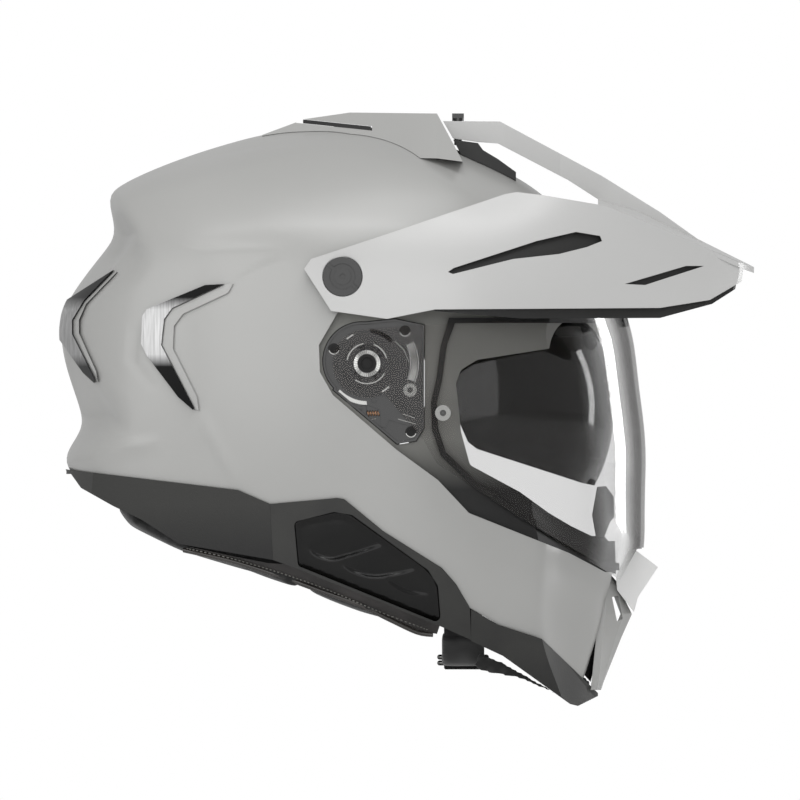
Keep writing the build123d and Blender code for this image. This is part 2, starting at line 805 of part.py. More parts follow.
with BuildPart() as sleeve:
    add(strap_band(strap_pad_wall, strap_pad_width, strap_pad_line))
    add(strap_band(strap_wall + 2 * seat_gap, strap_width + 2 * seat_gap, strap_line),
        mode=Mode.SUBTRACT)
with BuildPart() as strap_pads:
    add(both_sides(sleeve.part))
finish(strap_pads, "strap_pads")

with BuildPart() as anchor:
    add(ear_bar(strap_anchor_pixel, strap_anchor_radius, strap_side + strap_wall / 2, half_span))
    add(body_liner, mode=Mode.INTERSECT)
with BuildPart() as strap_anchors:
    add(both_sides(anchor.part))
finish(strap_anchors, "strap_anchors")

with BuildPart() as strap_rings:
    for level in (-1, 1):
        height = ring_z + level * (ring_wire + ring_lift) / 2
        with BuildLine(Plane(origin=(strap_x, 0, height))) as ring_path:
            FilletPolyline(
                (-ring_inner_length / 2 - ring_wire / 2, -ring_bar_place),
                (ring_inner_length / 2 + ring_wire / 2, -ring_bar_place),
                (ring_inner_length / 2 + ring_wire / 2, ring_bar_place),
                (-ring_inner_length / 2 - ring_wire / 2, ring_bar_place),
                radius=ring_corner, close=True)
        with BuildSketch(Plane(origin=ring_path.line @ 0, z_dir=ring_path.line % 0)):
            Circle(ring_wire / 2)
        sweep(path=ring_path.line)
finish(strap_rings, "strap_rings")

with BuildPart() as strap_snap:
    with BuildSketch(Plane(origin=(strap_x, snap_place, ring_z - strap_wall / 2),
                           x_dir=(1, 0, 0), z_dir=(0, 0, -1))):
        Circle(snap_radius)
    extrude(amount=snap_height)
    fillet(strap_snap.faces().sort_by(Axis.Z)[0].edges(), snap_height / 4)
finish(strap_snap, "strap_snap")

# Eye port: the sunk trim round the opening, its rubber bead and the breath guard
with BuildPart() as eyeport_trim:
    add(side_prism(zone_seat_pixels))
    add(body_liner, mode=Mode.INTERSECT)
    add(body_flange, mode=Mode.SUBTRACT)
    add(side_prism(port_pixels, corner=port_corner), mode=Mode.SUBTRACT)
    add(plate_room, mode=Mode.SUBTRACT)
    add(visor_sweep, mode=Mode.SUBTRACT)
finish(eyeport_trim, "eyeport_trim")

with BuildPart() as eyeport_gasket:
    add(side_prism(gasket_outer_pixels))
    add(side_prism(gasket_inner_pixels), mode=Mode.SUBTRACT)
    add(body_form(shell_wall - gasket_stand), mode=Mode.INTERSECT)
    add(body_inner, mode=Mode.SUBTRACT)
finish(eyeport_gasket, "eyeport_gasket")

with BuildPart() as guard_base:
    add(body_skin_piece(body_pad, body_fold, guard_base_pixels, -guard_half_width, guard_half_width))
with BuildPart() as breath_guard:
    add(body_skin_piece(body_liner, body_fold, guard_top_pixels, -guard_half_width, guard_half_width))
    add(guard_base.part)
finish(breath_guard, "breath_guard")

# Side covers over the cheek pockets, with their frames
with BuildPart() as frame_half:
    add(side_prism(cover_frame_pixels, -half_span, -cheek_inner))
    add(side_prism(cover_pixels, -half_span, 0, corner=cover_corner), mode=Mode.SUBTRACT)
    add(body_proud, mode=Mode.INTERSECT)
    add(body_inner, mode=Mode.SUBTRACT)
with BuildPart() as cover_half:
    add(side_prism(cover_inner_pixels, -half_span, -cheek_inner, corner=cover_corner))
    add(body_outer, mode=Mode.INTERSECT)
    add(body_inner, mode=Mode.SUBTRACT)
for side, turn in (("right", None), ("left", Plane.XZ)):
    for stem, half in (("side_cover_frame_", frame_half), ("side_cover_", cover_half)):
        with BuildPart() as cover_piece:
            add(half.part if turn is None else mirror(half.part, about=turn, mode=Mode.PRIVATE))
        finish(cover_piece, stem + side)

# Metal fins with painted frames, on the sides and at the back
body_fin = body_form(-fin_stand)
body_fin_frame = body_form(-fin_frame_stand)
for name, outside, pixels, near in (
    ("side_fins", body_fin, side_fin_pixels, cheek_inner),
    ("side_fin_frames", body_fin_frame, side_fin_frame_pixels, cheek_inner),
    ("back_fins", body_fin, back_fin_pixels, back_fin_inner),
    ("back_fin_frames", body_fin_frame, back_fin_frame_pixels, back_fin_inner),
):
    with BuildPart() as fins:
        add(both_sides(body_skin_piece(outside, body_skin, pixels, -half_span, -near)))
    finish(fins, name)

# Roof: the raised vent cover, its slider and the black crown vent under the strut
with BuildPart() as roof_form:
    for (px, py), top_share, base_share in roof_cover_stations_share:
        x, z = at((px, py))
        top, base = top_share * helmet_width, base_share * helmet_width
        low = z - 2 * roof_cover_drop
        with BuildSketch(Plane(origin=(x, 0, 0), x_dir=(0, 1, 0), z_dir=(1, 0, 0))):
            with BuildLine():
                Polyline((-2 * base + top, low), (-top, z), (top, z), (2 * base - top, low), close=True)
            make_face()
    loft(ruled=True)
    add(side_prism(roof_cover_pixels), mode=Mode.INTERSECT)
    add(body_skin, mode=Mode.SUBTRACT)
with BuildPart() as roof_vent_cover:
    add(roof_form.part)
    add(side_prism(roof_slot_pixels), mode=Mode.SUBTRACT)
finish(roof_vent_cover, "roof_vent_cover")
with BuildPart() as roof_vent_slider:
    add(roof_form.part)
    add(side_prism(roof_slider_pixels), mode=Mode.INTERSECT)
finish(roof_vent_slider, "roof_vent_slider")

with BuildPart() as crown_vent:
    add(side_prism(crown_vent_pixels, -crown_vent_half_width, crown_vent_half_width))
    add(body_skin, mode=Mode.SUBTRACT)
    with BuildSketch(Plane.XY.offset(at(crown_hole_low_pixel)[1])):
        with Locations((at(top_screw_pixel)[0], 0)):
            Circle(top_shank_radius + running_fit)
    extrude(amount=overrun, mode=Mode.SUBTRACT)
finish(crown_vent, "crown_vent")


# Peak
def peak_half_width(pixel):
    """The outer half width of the peak's side at a place in the side view."""
    rows = peak_stations_share
    for before, after in zip(rows, rows[1:]):
        if pixel[0] <= after[0]:
            break
    part_way = (pixel[0] - before[0]) / (after[0] - before[0])
    low, middle, high = [b + (a - b) * part_way for b, a in zip(before[1:], after[1:])]
    if pixel[1] > peak_mid_pixel:
        share = middle + (low - middle) * (pixel[1] - peak_mid_pixel) / (peak_low_pixel - peak_mid_pixel)
    else:
        share = middle + (high - middle) * (peak_mid_pixel - pixel[1]) / (peak_mid_pixel - peak_high_pixel)
    return share * helmet_width / 2


def peak_form(inset):
    """The closed form of the peak's sides, drawn in by the inset."""
    with BuildPart() as form:
        for station, *width_shares in peak_stations_share:
            heights = [at((station, py)) for py in (peak_low_pixel, peak_mid_pixel, peak_high_pixel)]
            half = [
                (share * helmet_width / 2 - inset, z)
                for share, (_, z) in zip(width_shares, heights)
            ]
            other = [(-y, z) for y, z in reversed(half)]
            with BuildSketch(Plane(origin=(heights[0][0], 0, 0), x_dir=(0, 1, 0), z_dir=(1, 0, 0))):
                with BuildLine():
                    add(even_spline(half))
                    Line(half[-1], other[0])
                    add(even_spline(other))
                    Line(other[-1], half[0])
                make_face()
        loft()
    return form.part


def peak_front(step_back):
    """Everything behind the rounded front edge of the peak."""
    corner_x = at((peak_front_pixel, 0))[0] - step_back
    tip_x = at((peak_tip_pixel, 0))[0] - step_back
    half = peak_front_half_width
    with BuildPart() as front:
        with BuildSketch(Plane.XY.offset(-half_span)):
            with BuildLine():
                ThreePointArc((corner_x, half), (tip_x, 0), (corner_x, -half))
                Polyline((corner_x, -half), (corner_x, -half_span), (-half_span, -half_span),
                         (-half_span, half_span), (corner_x, half_span), (corner_x, half))
            make_face()
        extrude(amount=2 * half_span)
    return front.part


peak_outer = peak_form(0.0)
side_screw_x, side_screw_z = at(side_screw_pixel)
with BuildPart() as peak_deck:
    for edge_pixel, inner_pixel in zip(deck_edge_pixels, deck_inner_pixels):
        x, edge_z = at(edge_pixel)
        inner_z = at(inner_pixel)[1]
        edge = peak_half_width(edge_pixel) - peak_wall / 2
        inner = deck_inner_half_width
        with BuildSketch(Plane(origin=(x, 0, 0), x_dir=(0, 1, 0), z_dir=(1, 0, 0))):
            with BuildLine():
                Polyline(
                    (-edge, edge_z), (-inner, inner_z), (inner, inner_z), (edge, edge_z),
                    (edge, edge_z - deck_wall), (inner, inner_z - deck_wall),
                    (-inner, inner_z - deck_wall), (-edge, edge_z - deck_wall), close=True)
            make_face()
    loft(ruled=True)
strut_plan = [(at((px, 0))[0], share * helmet_width / 2) for px, share in strut_half_width_share]
with BuildPart() as strut:
    add(side_prism(strut_pixels, -half_span / 2, half_span / 2))
    add(plan_prism(strut_plan + [(x, -y) for x, y in reversed(strut_plan)], -half_span, half_span),
        mode=Mode.INTERSECT)
    with BuildSketch(Plane.XY.offset(0)):
        with Locations((at(top_screw_pixel)[0], 0)):
            Circle(top_shank_radius + running_fit)
    extrude(amount=half_span, mode=Mode.SUBTRACT)
lobe_pad = ear_bar(side_screw_pixel, collar_radius + peak_wall, side_seat_depth - peak_wall, half_span)
with BuildPart() as peak_sides:
    add(peak_outer)
    add(peak_form(peak_wall), mode=Mode.SUBTRACT)
    add(side_prism(peak_side_pixels), mode=Mode.INTERSECT)
with BuildPart() as lobe_pads:
    add(both_sides(lobe_pad))
    add(peak_outer, mode=Mode.INTERSECT)
    add(side_prism(peak_side_pixels), mode=Mode.INTERSECT)
    add(body_skin, mode=Mode.SUBTRACT)
with BuildPart() as peak:
    add(peak_sides.part)
    add(lobe_pads.part)
    add(both_sides(ear_bar(side_screw_pixel, collar_radius + seat_gap, side_seat_depth, half_span)),
        mode=Mode.SUBTRACT)
    add(both_sides(ear_bar(side_screw_pixel, side_shank_radius + running_fit, 0, half_span)),
        mode=Mode.SUBTRACT)
    add(side_prism(peak_slot_pixels), mode=Mode.SUBTRACT)
    add(side_prism(peak_front_slot_pixels), mode=Mode.SUBTRACT)
    add(peak_deck.part)
    add(peak_front(0.0), mode=Mode.INTERSECT)
    add(strut.part)
finish(peak, "peak")

with BuildPart() as peak_liner:
    add(side_prism(peak_liner_pixels))
    add(peak_form(peak_wall + seat_gap), mode=Mode.INTERSECT)
    add(peak_form(peak_wall + seat_gap + liner_skin_wall), mode=Mode.SUBTRACT)
    add(peak_front(peak_wall), mode=Mode.INTERSECT)
    add(peak_deck.part, mode=Mode.SUBTRACT)
finish(peak_liner, "peak_liner")

# Screws of the peak, with their slotted collars
with BuildPart() as collar:
    add(ear_bar(side_screw_pixel, collar_radius, side_seat_depth, side_seat_depth + collar_height,
                side_shank_radius + running_fit))
    add(ear_bar(side_screw_pixel, collar_recess_radius, side_seat_depth + collar_height / 2,
                half_span), mode=Mode.SUBTRACT)
    with BuildSketch(Plane(origin=(side_screw_x, -half_span, side_screw_z), x_dir=(1, 0, 0),
                           z_dir=(0, 1, 0))):
        Rectangle(2 * collar_radius, collar_slot_width, rotation=collar_slot_turn)
    extrude(amount=half_span - side_seat_depth - collar_height / 2, mode=Mode.SUBTRACT)
with BuildPart() as peak_collars:
    add(both_sides(collar.part))
finish(peak_collars, "peak_collars")
with BuildPart() as side_screw:
    add(ear_bar(side_screw_pixel, side_screw_radius, side_seat_depth + collar_height / 2,
                side_seat_depth + collar_height / 2 + side_screw_height))
    add(ear_bar(side_screw_pixel, side_shank_radius, side_seat_depth - side_shank_length, side_seat_depth
                + collar_height))
    add(ear_bar(side_screw_pixel, screw_socket_radius, side_seat_depth + collar_height / 2
                + side_screw_height - screw_socket_depth, half_span), mode=Mode.SUBTRACT)
with BuildPart() as peak_side_screws:
    add(both_sides(side_screw.part))
finish(peak_side_screws, "peak_side_screws")
with BuildPart() as peak_top_screw:
    head_z = at(top_screw_seat_pixel)[1]
    with BuildSketch(Plane(origin=(at(top_screw_pixel)[0], 0, head_z))):
        Circle(top_screw_radius)
    extrude(amount=top_screw_height)
    with BuildSketch(Plane(origin=(at(top_screw_pixel)[0], 0, head_z))):
        Circle(top_shank_radius)
    extrude(amount=-top_shank_length)
    with Locations((at(top_screw_pixel)[0], 0, head_z + top_screw_height)):
        Box(2 * top_screw_radius, top_fin_wall, top_fin_height,
            align=(Align.CENTER, Align.CENTER, Align.MIN))
finish(peak_top_screw, "peak_top_screw")

# Shield
shield_ear_depth = helmet_width / 2 + shield_stand_off


def shield_form(inset):
    """The closed form of the shield: level sections that wrap from ear to ear."""
    back = shield_back_share * helmet_length
    with BuildPart() as form:
        for height_share, front_share, width_share in shield_section_share:
            half_width = width_share * shield_ear_depth - inset
            front = front_share * helmet_length - inset
            points = []
            for step in range(shield_curve_points):
                angle = math.pi * (step / (shield_curve_points - 1) - 0.5)
                points.append((
                    front * abs(math.cos(angle)) ** (2 / shield_power),
                    half_width * math.copysign(abs(math.sin(angle)) ** (2 / shield_power),
                                               math.sin(angle)),
                ))
            with BuildSketch(Plane.XY.offset(height_share * helmet_length)):
                with BuildLine():
                    add(even_spline(points))
                    Polyline(points[-1], (back, half_width), (back, -half_width), points[0])
                make_face()
        loft()
    return form.part


gear_depth = slab_depth + gear_gap
boss_depth = gear_depth + gear_wall
ear_out_depth = shield_ear_depth + shield_rim_stand
with BuildPart() as face_shield:
    add(side_prism(shield_pixels))
    add(side_disc(pivot_pixel, shield_ear_radius))
    add(shield_form(0.0), mode=Mode.INTERSECT)
    add(shield_form(shield_wall), mode=Mode.SUBTRACT)
    add(side_prism(beak_room_pixels, -beak_room_half_width, beak_room_half_width),
        mode=Mode.SUBTRACT)
    add(both_sides(ear_bar(pivot_pixel, hub_radius + ear_boss_wall, boss_depth, ear_out_depth)))
    add(both_sides(ear_bar(pivot_pixel, hub_radius + running_fit, 0, half_span)),
        mode=Mode.SUBTRACT)
    add(both_sides(ear_bar(pinlock_pixel, pinlock_radius + running_fit, 0, half_span)),
        mode=Mode.SUBTRACT)
finish(face_shield, "face_shield")

pin_depth = shield_ear_depth - pinlock_sink
with BuildPart() as pin:
    add(ear_bar(pinlock_pixel, pinlock_radius, pin_depth - pinlock_depth, pin_depth))
    with BuildSketch(Plane(origin=(at(pinlock_pixel)[0], -pin_depth, at(pinlock_pixel)[1]),
                           x_dir=(1, 0, 0), z_dir=(0, 1, 0))):
        RegularPolygon(pinlock_socket, 6)
    extrude(amount=screw_socket_depth, mode=Mode.SUBTRACT)
with BuildPart() as pinlock_pins:
    add(both_sides(pin.part))
finish(pinlock_pins, "pinlock_pins")

# Pivot mechanism of each ear, open to view through the clear shield
with BuildPart() as plate_half:
    with BuildSketch(Plane.XZ.offset(plate_depth)):
        add(plate_outline(0.0))
    extrude(amount=plate_wall)
    with BuildSketch(Plane.XZ.offset(slab_depth)):
        add(plate_outline(0.0))
        add(plate_outline(-plate_rim_wall), mode=Mode.SUBTRACT)
    extrude(amount=plate_rim_height)
    add(ear_bar(pivot_pixel, hub_radius, slab_depth, ear_out_depth))
    add(ear_bar(pivot_pixel, hub_bore, slab_depth, half_span), mode=Mode.SUBTRACT)
    with BuildSketch(Plane(origin=(at(slot_arc_pixel)[0], -plate_depth, at(slot_arc_pixel)[1]),
                           x_dir=(1, 0, 0), z_dir=(0, -1, 0))):
        SlotArc(CenterArc((0, 0), slot_arc_radius, slot_arc_start, slot_arc_sweep,
                          mode=Mode.PRIVATE), slot_width)
    extrude(amount=plate_wall, mode=Mode.SUBTRACT)
    add(side_prism(spring_seat_pixels, -slab_depth - lever_wall, -slab_depth))
    add(ear_bar(lever_pin_pixel, lever_pin_radius, slab_depth, slab_depth + gear_gap + lever_wall))
with BuildPart() as gear_half:
    add(ear_bar(pivot_pixel, gear_radius, gear_depth, boss_depth, hub_radius + running_fit))
    add(ear_bar(pivot_pixel, gear_rib_radius + gear_rib_wall, boss_depth, boss_depth + gear_rib_height,
                gear_rib_radius))
    for notch in range(gear_notches):
        angle = math.radians(gear_first_notch + notch * gear_notch_step)
        with BuildSketch(Plane(origin=(gear_radius * math.cos(angle), -gear_depth,
                                       gear_radius * math.sin(angle)),
                               x_dir=(1, 0, 0), z_dir=(0, -1, 0))):
            Circle(gear_notch_radius)
        extrude(amount=gear_wall, mode=Mode.SUBTRACT)
with BuildPart() as lever_half:
    add(side_prism(lever_pixels, -slab_depth - gear_gap - lever_wall, -slab_depth - gear_gap))
    add(side_disc(pivot_pixel, gear_radius + lever_room), mode=Mode.SUBTRACT)
    add(ear_bar(lever_pin_pixel, lever_pin_radius + running_fit, 0, half_span), mode=Mode.SUBTRACT)


def spring_path(start, end, radius, turns):
    """A coil along X from one end to the other, as pairs of arcs that meet in line."""
    quarter_turns = 4 * turns
    pitch_step = (end[0] - start[0]) / quarter_turns
    points, headings = [], []
    for step in range(quarter_turns + 1):
        angle = math.pi / 2 * step
        points.append(Vector(start[0] + pitch_step * step, start[1] + radius * math.cos(angle),
                             start[2] + radius * math.sin(angle)))
        headings.append(Vector(pitch_step / (math.pi / 2), -radius * math.sin(angle),
                               radius * math.cos(angle)).normalized())
    for first, last, out, back in zip(points, points[1:], headings, headings[1:]):
        span, both = last - first, out + back
        square = both.dot(both) - 4
        along = span.dot(both)
        reach = (along - math.sqrt(along * along - square * span.dot(span))) / square
        if reach < 0:
            reach = (along + math.sqrt(along * along - square * span.dot(span))) / square
        middle = (first + out * reach + last - back * reach) * 0.5
        TangentArc(first, middle, tangent=out)
        TangentArc(last, middle, tangent=back * -1)


spring_start = at(spring_start_pixel)
spring_end = at(spring_end_pixel)
spring_depth = slab_depth + gear_gap + spring_radius + spring_wire / 2
with BuildPart() as spring_half:
    with BuildLine() as spring_line:
        spring_path((spring_start[0], -spring_depth, spring_start[1]),
                    (spring_end[0], -spring_depth, spring_end[1]), spring_radius, spring_turns)
    with BuildSketch(Plane(origin=spring_line.line @ 0, z_dir=spring_line.line % 0)):
        Circle(spring_wire / 2)
    sweep(path=spring_line.wires()[0])
turn_gap = (spring_end[0] - spring_start[0]) / spring_turns - spring_wire
print("least gap between the spring's turns", round(turn_gap, 2))

for side in ("right", "left"):
    for stem, half in (("pivot_plate_", plate_half), ("pivot_gear_", gear_half),
                       ("release_lever_", lever_half), ("lever_spring_", spring_half)):
        with BuildPart() as ear_piece:
            add(half.part)
            if side == "left":
                mirror(half.part, about=Plane.XZ, mode=Mode.REPLACE)
        finish(ear_piece, stem + side)

with BuildPart() as screw_group:
    for pixel in plate_screw_pixels:
        add(ear_bar(pixel, screw_head_radius, slab_depth, slab_depth + screw_head_height))
        add(ear_bar(pixel, screw_socket_radius, slab_depth + screw_head_height
                    - screw_socket_depth, half_span), mode=Mode.SUBTRACT)
with BuildPart() as plate_screws:
    add(both_sides(screw_group.part))
finish(plate_screws, "plate_screws")
with BuildPart() as guide_screw:
    add(ear_bar(guide_screw_pixel, guide_screw_radius, slab_depth, slab_depth + screw_head_height))
    add(ear_bar(guide_screw_pixel, screw_socket_radius, slab_depth + screw_head_height
                - screw_socket_depth, half_span), mode=Mode.SUBTRACT)
with BuildPart() as guide_screws:
    add(both_sides(guide_screw.part))
finish(guide_screws, "guide_screws")
with BuildPart() as hub_half:
    add(ear_bar(pivot_pixel, hub_bore - running_fit, slab_depth, ear_out_depth - hub_sink))
    add(ear_bar(pivot_pixel, hub_cup_radius, ear_out_depth - hub_sink - hub_cup_depth, half_span),
        mode=Mode.SUBTRACT)
with BuildPart() as pivot_hubs:
    add(both_sides(hub_half.part))
finish(pivot_hubs, "pivot_hubs")
with BuildPart() as visor_pins:
    add(both_sides(ear_bar(visor_pixel, visor_pin_radius, visor_half_width - visor_pin_length,
                           half_span)))
    add(body_flange, mode=Mode.INTERSECT)
finish(visor_pins, "visor_pins")

# Chin: the faceted front panel, the shutter behind its slots and the beak above it
with BuildPart() as chin_panel:
    for py, middle_px, shoulder_px, seam_px in reversed(chin_panel_stations):
        front = [
            (at((seam_px, py))[0], chin_half_width - seam_gap),
            (at((shoulder_px, py))[0], chin_shoulder_half_width),
            (at((middle_px, py))[0], chin_middle_half_width),
        ]
        front += [(x, -y) for x, y in reversed(front)]
        back = [(x - chin_panel_wall, y) for x, y in reversed(front)]
        with BuildSketch(Plane.XY.offset(at((0, py))[1])):
            with BuildLine():
                Polyline(*front, *back, close=True)
            make_face()
    loft(ruled=True)
    for near, far in ((-half_span, -chin_slot_inner), (chin_slot_inner, half_span)):
        add(side_prism(chin_slot_pixels, near, far), mode=Mode.SUBTRACT)
    for neighbour in (eyeport_trim, front_trim, chin_liner):
        add(neighbour.part, mode=Mode.SUBTRACT)
finish(chin_panel, "chin_panel")
with BuildPart() as chin_vent_shutter:
    add(side_prism(shutter_pixels, -shutter_half_width, shutter_half_width))
finish(chin_vent_shutter, "chin_vent_shutter")
beak_plan = [
    (at((beak_root_pixel, 0))[0], beak_root_half_width),
    (at((beak_tip_pixel, 0))[0], beak_tip_half_width),
]
with BuildPart() as chin_beak:
    add(side_prism(beak_pixels))
    add(plan_prism(beak_plan + [(x, -y) for x, y in reversed(beak_plan)], -half_span, half_span),
        mode=Mode.INTERSECT)
    add(chin_panel.part, mode=Mode.SUBTRACT)
finish(chin_beak, "chin_beak")
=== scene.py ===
# %% [markdown]
# # A dual sport helmet, dressed for the studio
# The engineering model gives every piece its size and place. This notebook keeps those places and
# gives each piece the surface, the paint and the small detail of the real thing. We begin by
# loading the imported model. Everything is in metres: the helmet faces +X, +Z is up and the camera
# looks along +Y at its right side.

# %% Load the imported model
import math

import bpy
import numpy as np
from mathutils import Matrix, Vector
from mathutils.bvhtree import BVHTree


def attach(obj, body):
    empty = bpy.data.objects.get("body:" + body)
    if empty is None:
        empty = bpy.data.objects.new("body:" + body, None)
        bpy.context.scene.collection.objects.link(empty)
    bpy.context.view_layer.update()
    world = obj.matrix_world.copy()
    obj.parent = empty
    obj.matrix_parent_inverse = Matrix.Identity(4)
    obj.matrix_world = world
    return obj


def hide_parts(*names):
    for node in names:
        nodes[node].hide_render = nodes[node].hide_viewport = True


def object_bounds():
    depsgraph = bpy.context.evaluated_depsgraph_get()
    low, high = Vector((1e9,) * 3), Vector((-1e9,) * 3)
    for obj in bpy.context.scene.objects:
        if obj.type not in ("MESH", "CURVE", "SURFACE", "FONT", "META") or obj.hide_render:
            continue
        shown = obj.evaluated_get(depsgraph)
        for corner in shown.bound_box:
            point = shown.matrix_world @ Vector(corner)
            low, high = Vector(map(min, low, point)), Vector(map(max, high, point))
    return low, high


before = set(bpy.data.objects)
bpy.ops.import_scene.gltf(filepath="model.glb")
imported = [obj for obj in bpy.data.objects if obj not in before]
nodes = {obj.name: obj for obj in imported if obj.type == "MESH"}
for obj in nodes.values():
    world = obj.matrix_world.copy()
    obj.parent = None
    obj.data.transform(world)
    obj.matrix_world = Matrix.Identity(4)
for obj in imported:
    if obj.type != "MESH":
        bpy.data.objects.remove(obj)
cad_box = [list(corner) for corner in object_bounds()]
print("nodes:", len(nodes), "box:", cad_box)

# %% [markdown]
# The side view was read in pixels, so the same small function that places a pixel in the
# engineering model places it here. One pixel is a little over half a millimetre.

# %% From a pixel of the side view to a place on the helmet
PIXEL = 0.407 / 703.0
PIVOT_PIXEL = (367.0, 363.5)
MM = 0.001


def at(px, py):
    """A pixel of the side view as x and z in metres."""
    return ((px - PIVOT_PIXEL[0]) * PIXEL, (PIVOT_PIXEL[1] - py) * PIXEL)


print("one pixel is", round(PIXEL / MM, 3), "mm")

# %% [markdown]
# ## The camera
# The photograph is level and taken from far away, so nearly nothing in it converges. An
# orthographic camera gives exactly that. Its width is the frame's 800 pixels.

# %% Camera
FRAME_PIXELS = 800
view_x, view_z = at(FRAME_PIXELS / 2, FRAME_PIXELS / 2)
bpy.ops.object.select_all(action="DESELECT")
bpy.ops.object.camera_add(location=(view_x, -2.0, view_z), rotation=(math.radians(90), 0, 0))
camera = bpy.context.object
camera.data.type = "ORTHO"
camera.data.ortho_scale = FRAME_PIXELS * PIXEL
camera.data.dof.use_dof = False
bpy.context.scene.camera = camera
print("the frame is", round(FRAME_PIXELS * PIXEL, 4), "m wide")

# %% [markdown]
# ## Colours and nodes
# Colours are read as sRGB hex values, the way a paint chart gives them, and one function turns them
# to the linear values that the shaders work in. A second small function adds any node with its
# settings and its links, so each material below reads as a list of what its surface is made of.

# %% Colour and node helpers


def colour(hex_value, alpha=1.0):
    """An sRGB hex value as a linear colour."""
    channels = [int(hex_value[i:i + 2], 16) / 255 for i in (0, 2, 4)]
    linear = [c / 12.92 if c <= 0.04045 else ((c + 0.055) / 1.055) ** 2.4 for c in channels]
    return (*linear, alpha)


def add(material, kind, inputs=None, **settings):
    """Add one node; each input is a value, or the output socket that it's linked to."""
    node = material.node_tree.nodes.new(kind)
    for name, value in settings.items():
        setattr(node, name, value)
    for name, value in (inputs or {}).items():
        if isinstance(value, bpy.types.NodeSocket):
            material.node_tree.links.new(value, node.inputs[name])
        else:
            node.inputs[name].default_value = value
    return node


def new_material(name):
    """An empty material and its shader."""
    material = bpy.data.materials.new(name)
    material.use_nodes = True
    return material, material.node_tree.nodes["Principled BSDF"]


def set_inputs(material, shader, **inputs):
    """Set or link the shader's own sockets; underscores in a name stand for spaces."""
    for name, value in inputs.items():
        socket = shader.inputs[name.replace("_", " ")]
        if isinstance(value, bpy.types.NodeSocket):
            material.node_tree.links.new(value, socket)
        else:
            socket.default_value = value


def places(material):
    """The place on the piece, in metres, in the helmet's own frame."""
    return add(material, "ShaderNodeTexCoord").outputs["Object"]


def fade(material, factor, dark, light, low=0.35, high=0.65):
    """A smooth run from one colour to another over a stretch of the factor."""
    ramp = add(material, "ShaderNodeValToRGB", {"Fac": factor})
    ramp.color_ramp.elements[0].position, ramp.color_ramp.elements[0].color = low, dark
    ramp.color_ramp.elements[1].position, ramp.color_ramp.elements[1].color = high, light
    return ramp.outputs["Color"]


def grain(material, size_mm, depth_mm, detail=2.0, edge_mm=0.0):
    """Bump from a fine noise, in real sizes, over edges that are rounded by edge_mm."""
    noise = add(material, "ShaderNodeTexNoise",
                {"Vector": places(material), "Scale": 1000.0 / size_mm, "Detail": detail})
    inputs = {"Height": noise.outputs["Fac"], "Strength": 1.0, "Distance": depth_mm * MM}
    if edge_mm:
        rounded = add(material, "ShaderNodeBevel", {"Radius": edge_mm * MM}, samples=4)
        inputs["Normal"] = rounded.outputs["Normal"]
    return add(material, "ShaderNodeBump", inputs).outputs["Normal"]


print("a mid grey of 808080 is", round(colour("808080")[0], 3), "in linear light")

# %% [markdown]
# ## Lacquer
# The shell is a fibre lay-up, filled, sprayed grey and covered with clear lacquer. Clear lacquer
# reflects like thin glass, so the coat is strong and nearly smooth, and it lies over a base that
# scatters. Sprayed lacquer is never quite flat: its faint waves, a few millimetres long, are
# called orange peel.

# %% Sprayed lacquer: grey shell, lighter peak, and a beak painted pale as a painted highlight
ORANGE_PEEL_MM = 3.5


def lacquer(name, mid, pale):
    """Grey base under a clear coat: a soft sheen that shows every change of the form."""
    material, shader = new_material(name)
    cloud = add(material, "ShaderNodeTexNoise",
                {"Vector": places(material), "Scale": 9.0, "Detail": 1.0})
    set_inputs(material, shader,
               Base_Color=fade(material, cloud.outputs["Fac"], colour(mid), colour(pale)),
               Roughness=0.34, Coat_Weight=0.45, Coat_Roughness=0.2, Coat_IOR=1.5,
               Normal=grain(material, ORANGE_PEEL_MM, 0.004, edge_mm=0.5))
    return material


shell_lacquer = lacquer("sprayed_lacquer_grey", "A6A6A4", "ABABA9")
peak_lacquer = lacquer("sprayed_lacquer_light_grey", "BCBCBB", "C0C0BF")
# The beak is the shell's grey lacquer, painted nearly white as a painted highlight of its gloss.
beak_lacquer_painted_highlight = lacquer("sprayed_lacquer_painted_highlight", "E8E8E7", "ECECEB")
print("lacquers:", shell_lacquer.name, peak_lacquer.name, beak_lacquer_painted_highlight.name)

# %% [markdown]
# ## Moulded plastics
# The lower trims are ABS from a textured mould: matte, a little uneven, with a grain of about half
# a millimetre to a millimetre. The mechanism, screws and sliders come from a polished mould and are
# gloss black. The covers lie between the two, with a satin face that reflects little. One function
# serves them all, because only the shade, the roughness and the grain of the mould differ.

# %% Moulded plastics


def moulded(name, dark, light, roughness, size_mm, depth_mm, coat=0.0):
    """Moulded plastic or rubber: its two shades, and the grain that its mould leaves."""
    material, shader = new_material(name)
    cloud = add(material, "ShaderNodeTexNoise",
                {"Vector": places(material), "Scale": 35.0, "Detail": 3.0})
    set_inputs(material, shader,
               Base_Color=fade(material, cloud.outputs["Fac"], colour(dark), colour(light)),
               Roughness=roughness, Coat_Weight=coat, Coat_Roughness=0.1,
               Normal=grain(material, size_mm, depth_mm, edge_mm=0.45))
    return material


matte_abs = moulded("textured_abs_black", "232322", "2C2C2A", 0.5, 0.9, 0.05)
deep_abs = moulded("textured_abs_deep_black", "141414", "1A1A19", 0.45, 0.7, 0.03)
gloss_abs = moulded("polished_abs_black", "0C0C0C", "121212", 0.16, 4.0, 0.003, coat=0.4)
satin_abs = moulded("satin_abs_black", "0A0A0A", "0F0F0E", 0.24, 1.2, 0.008, coat=0.1)
satin_abs.node_tree.nodes["Principled BSDF"].inputs["Specular IOR Level"].default_value = 0.25
sealing_rubber = moulded("moulded_rubber_black", "0B0B0B", "101010", 0.62, 0.6, 0.02)
print("moulded finishes:", matte_abs.name, deep_abs.name, gloss_abs.name, satin_abs.name)

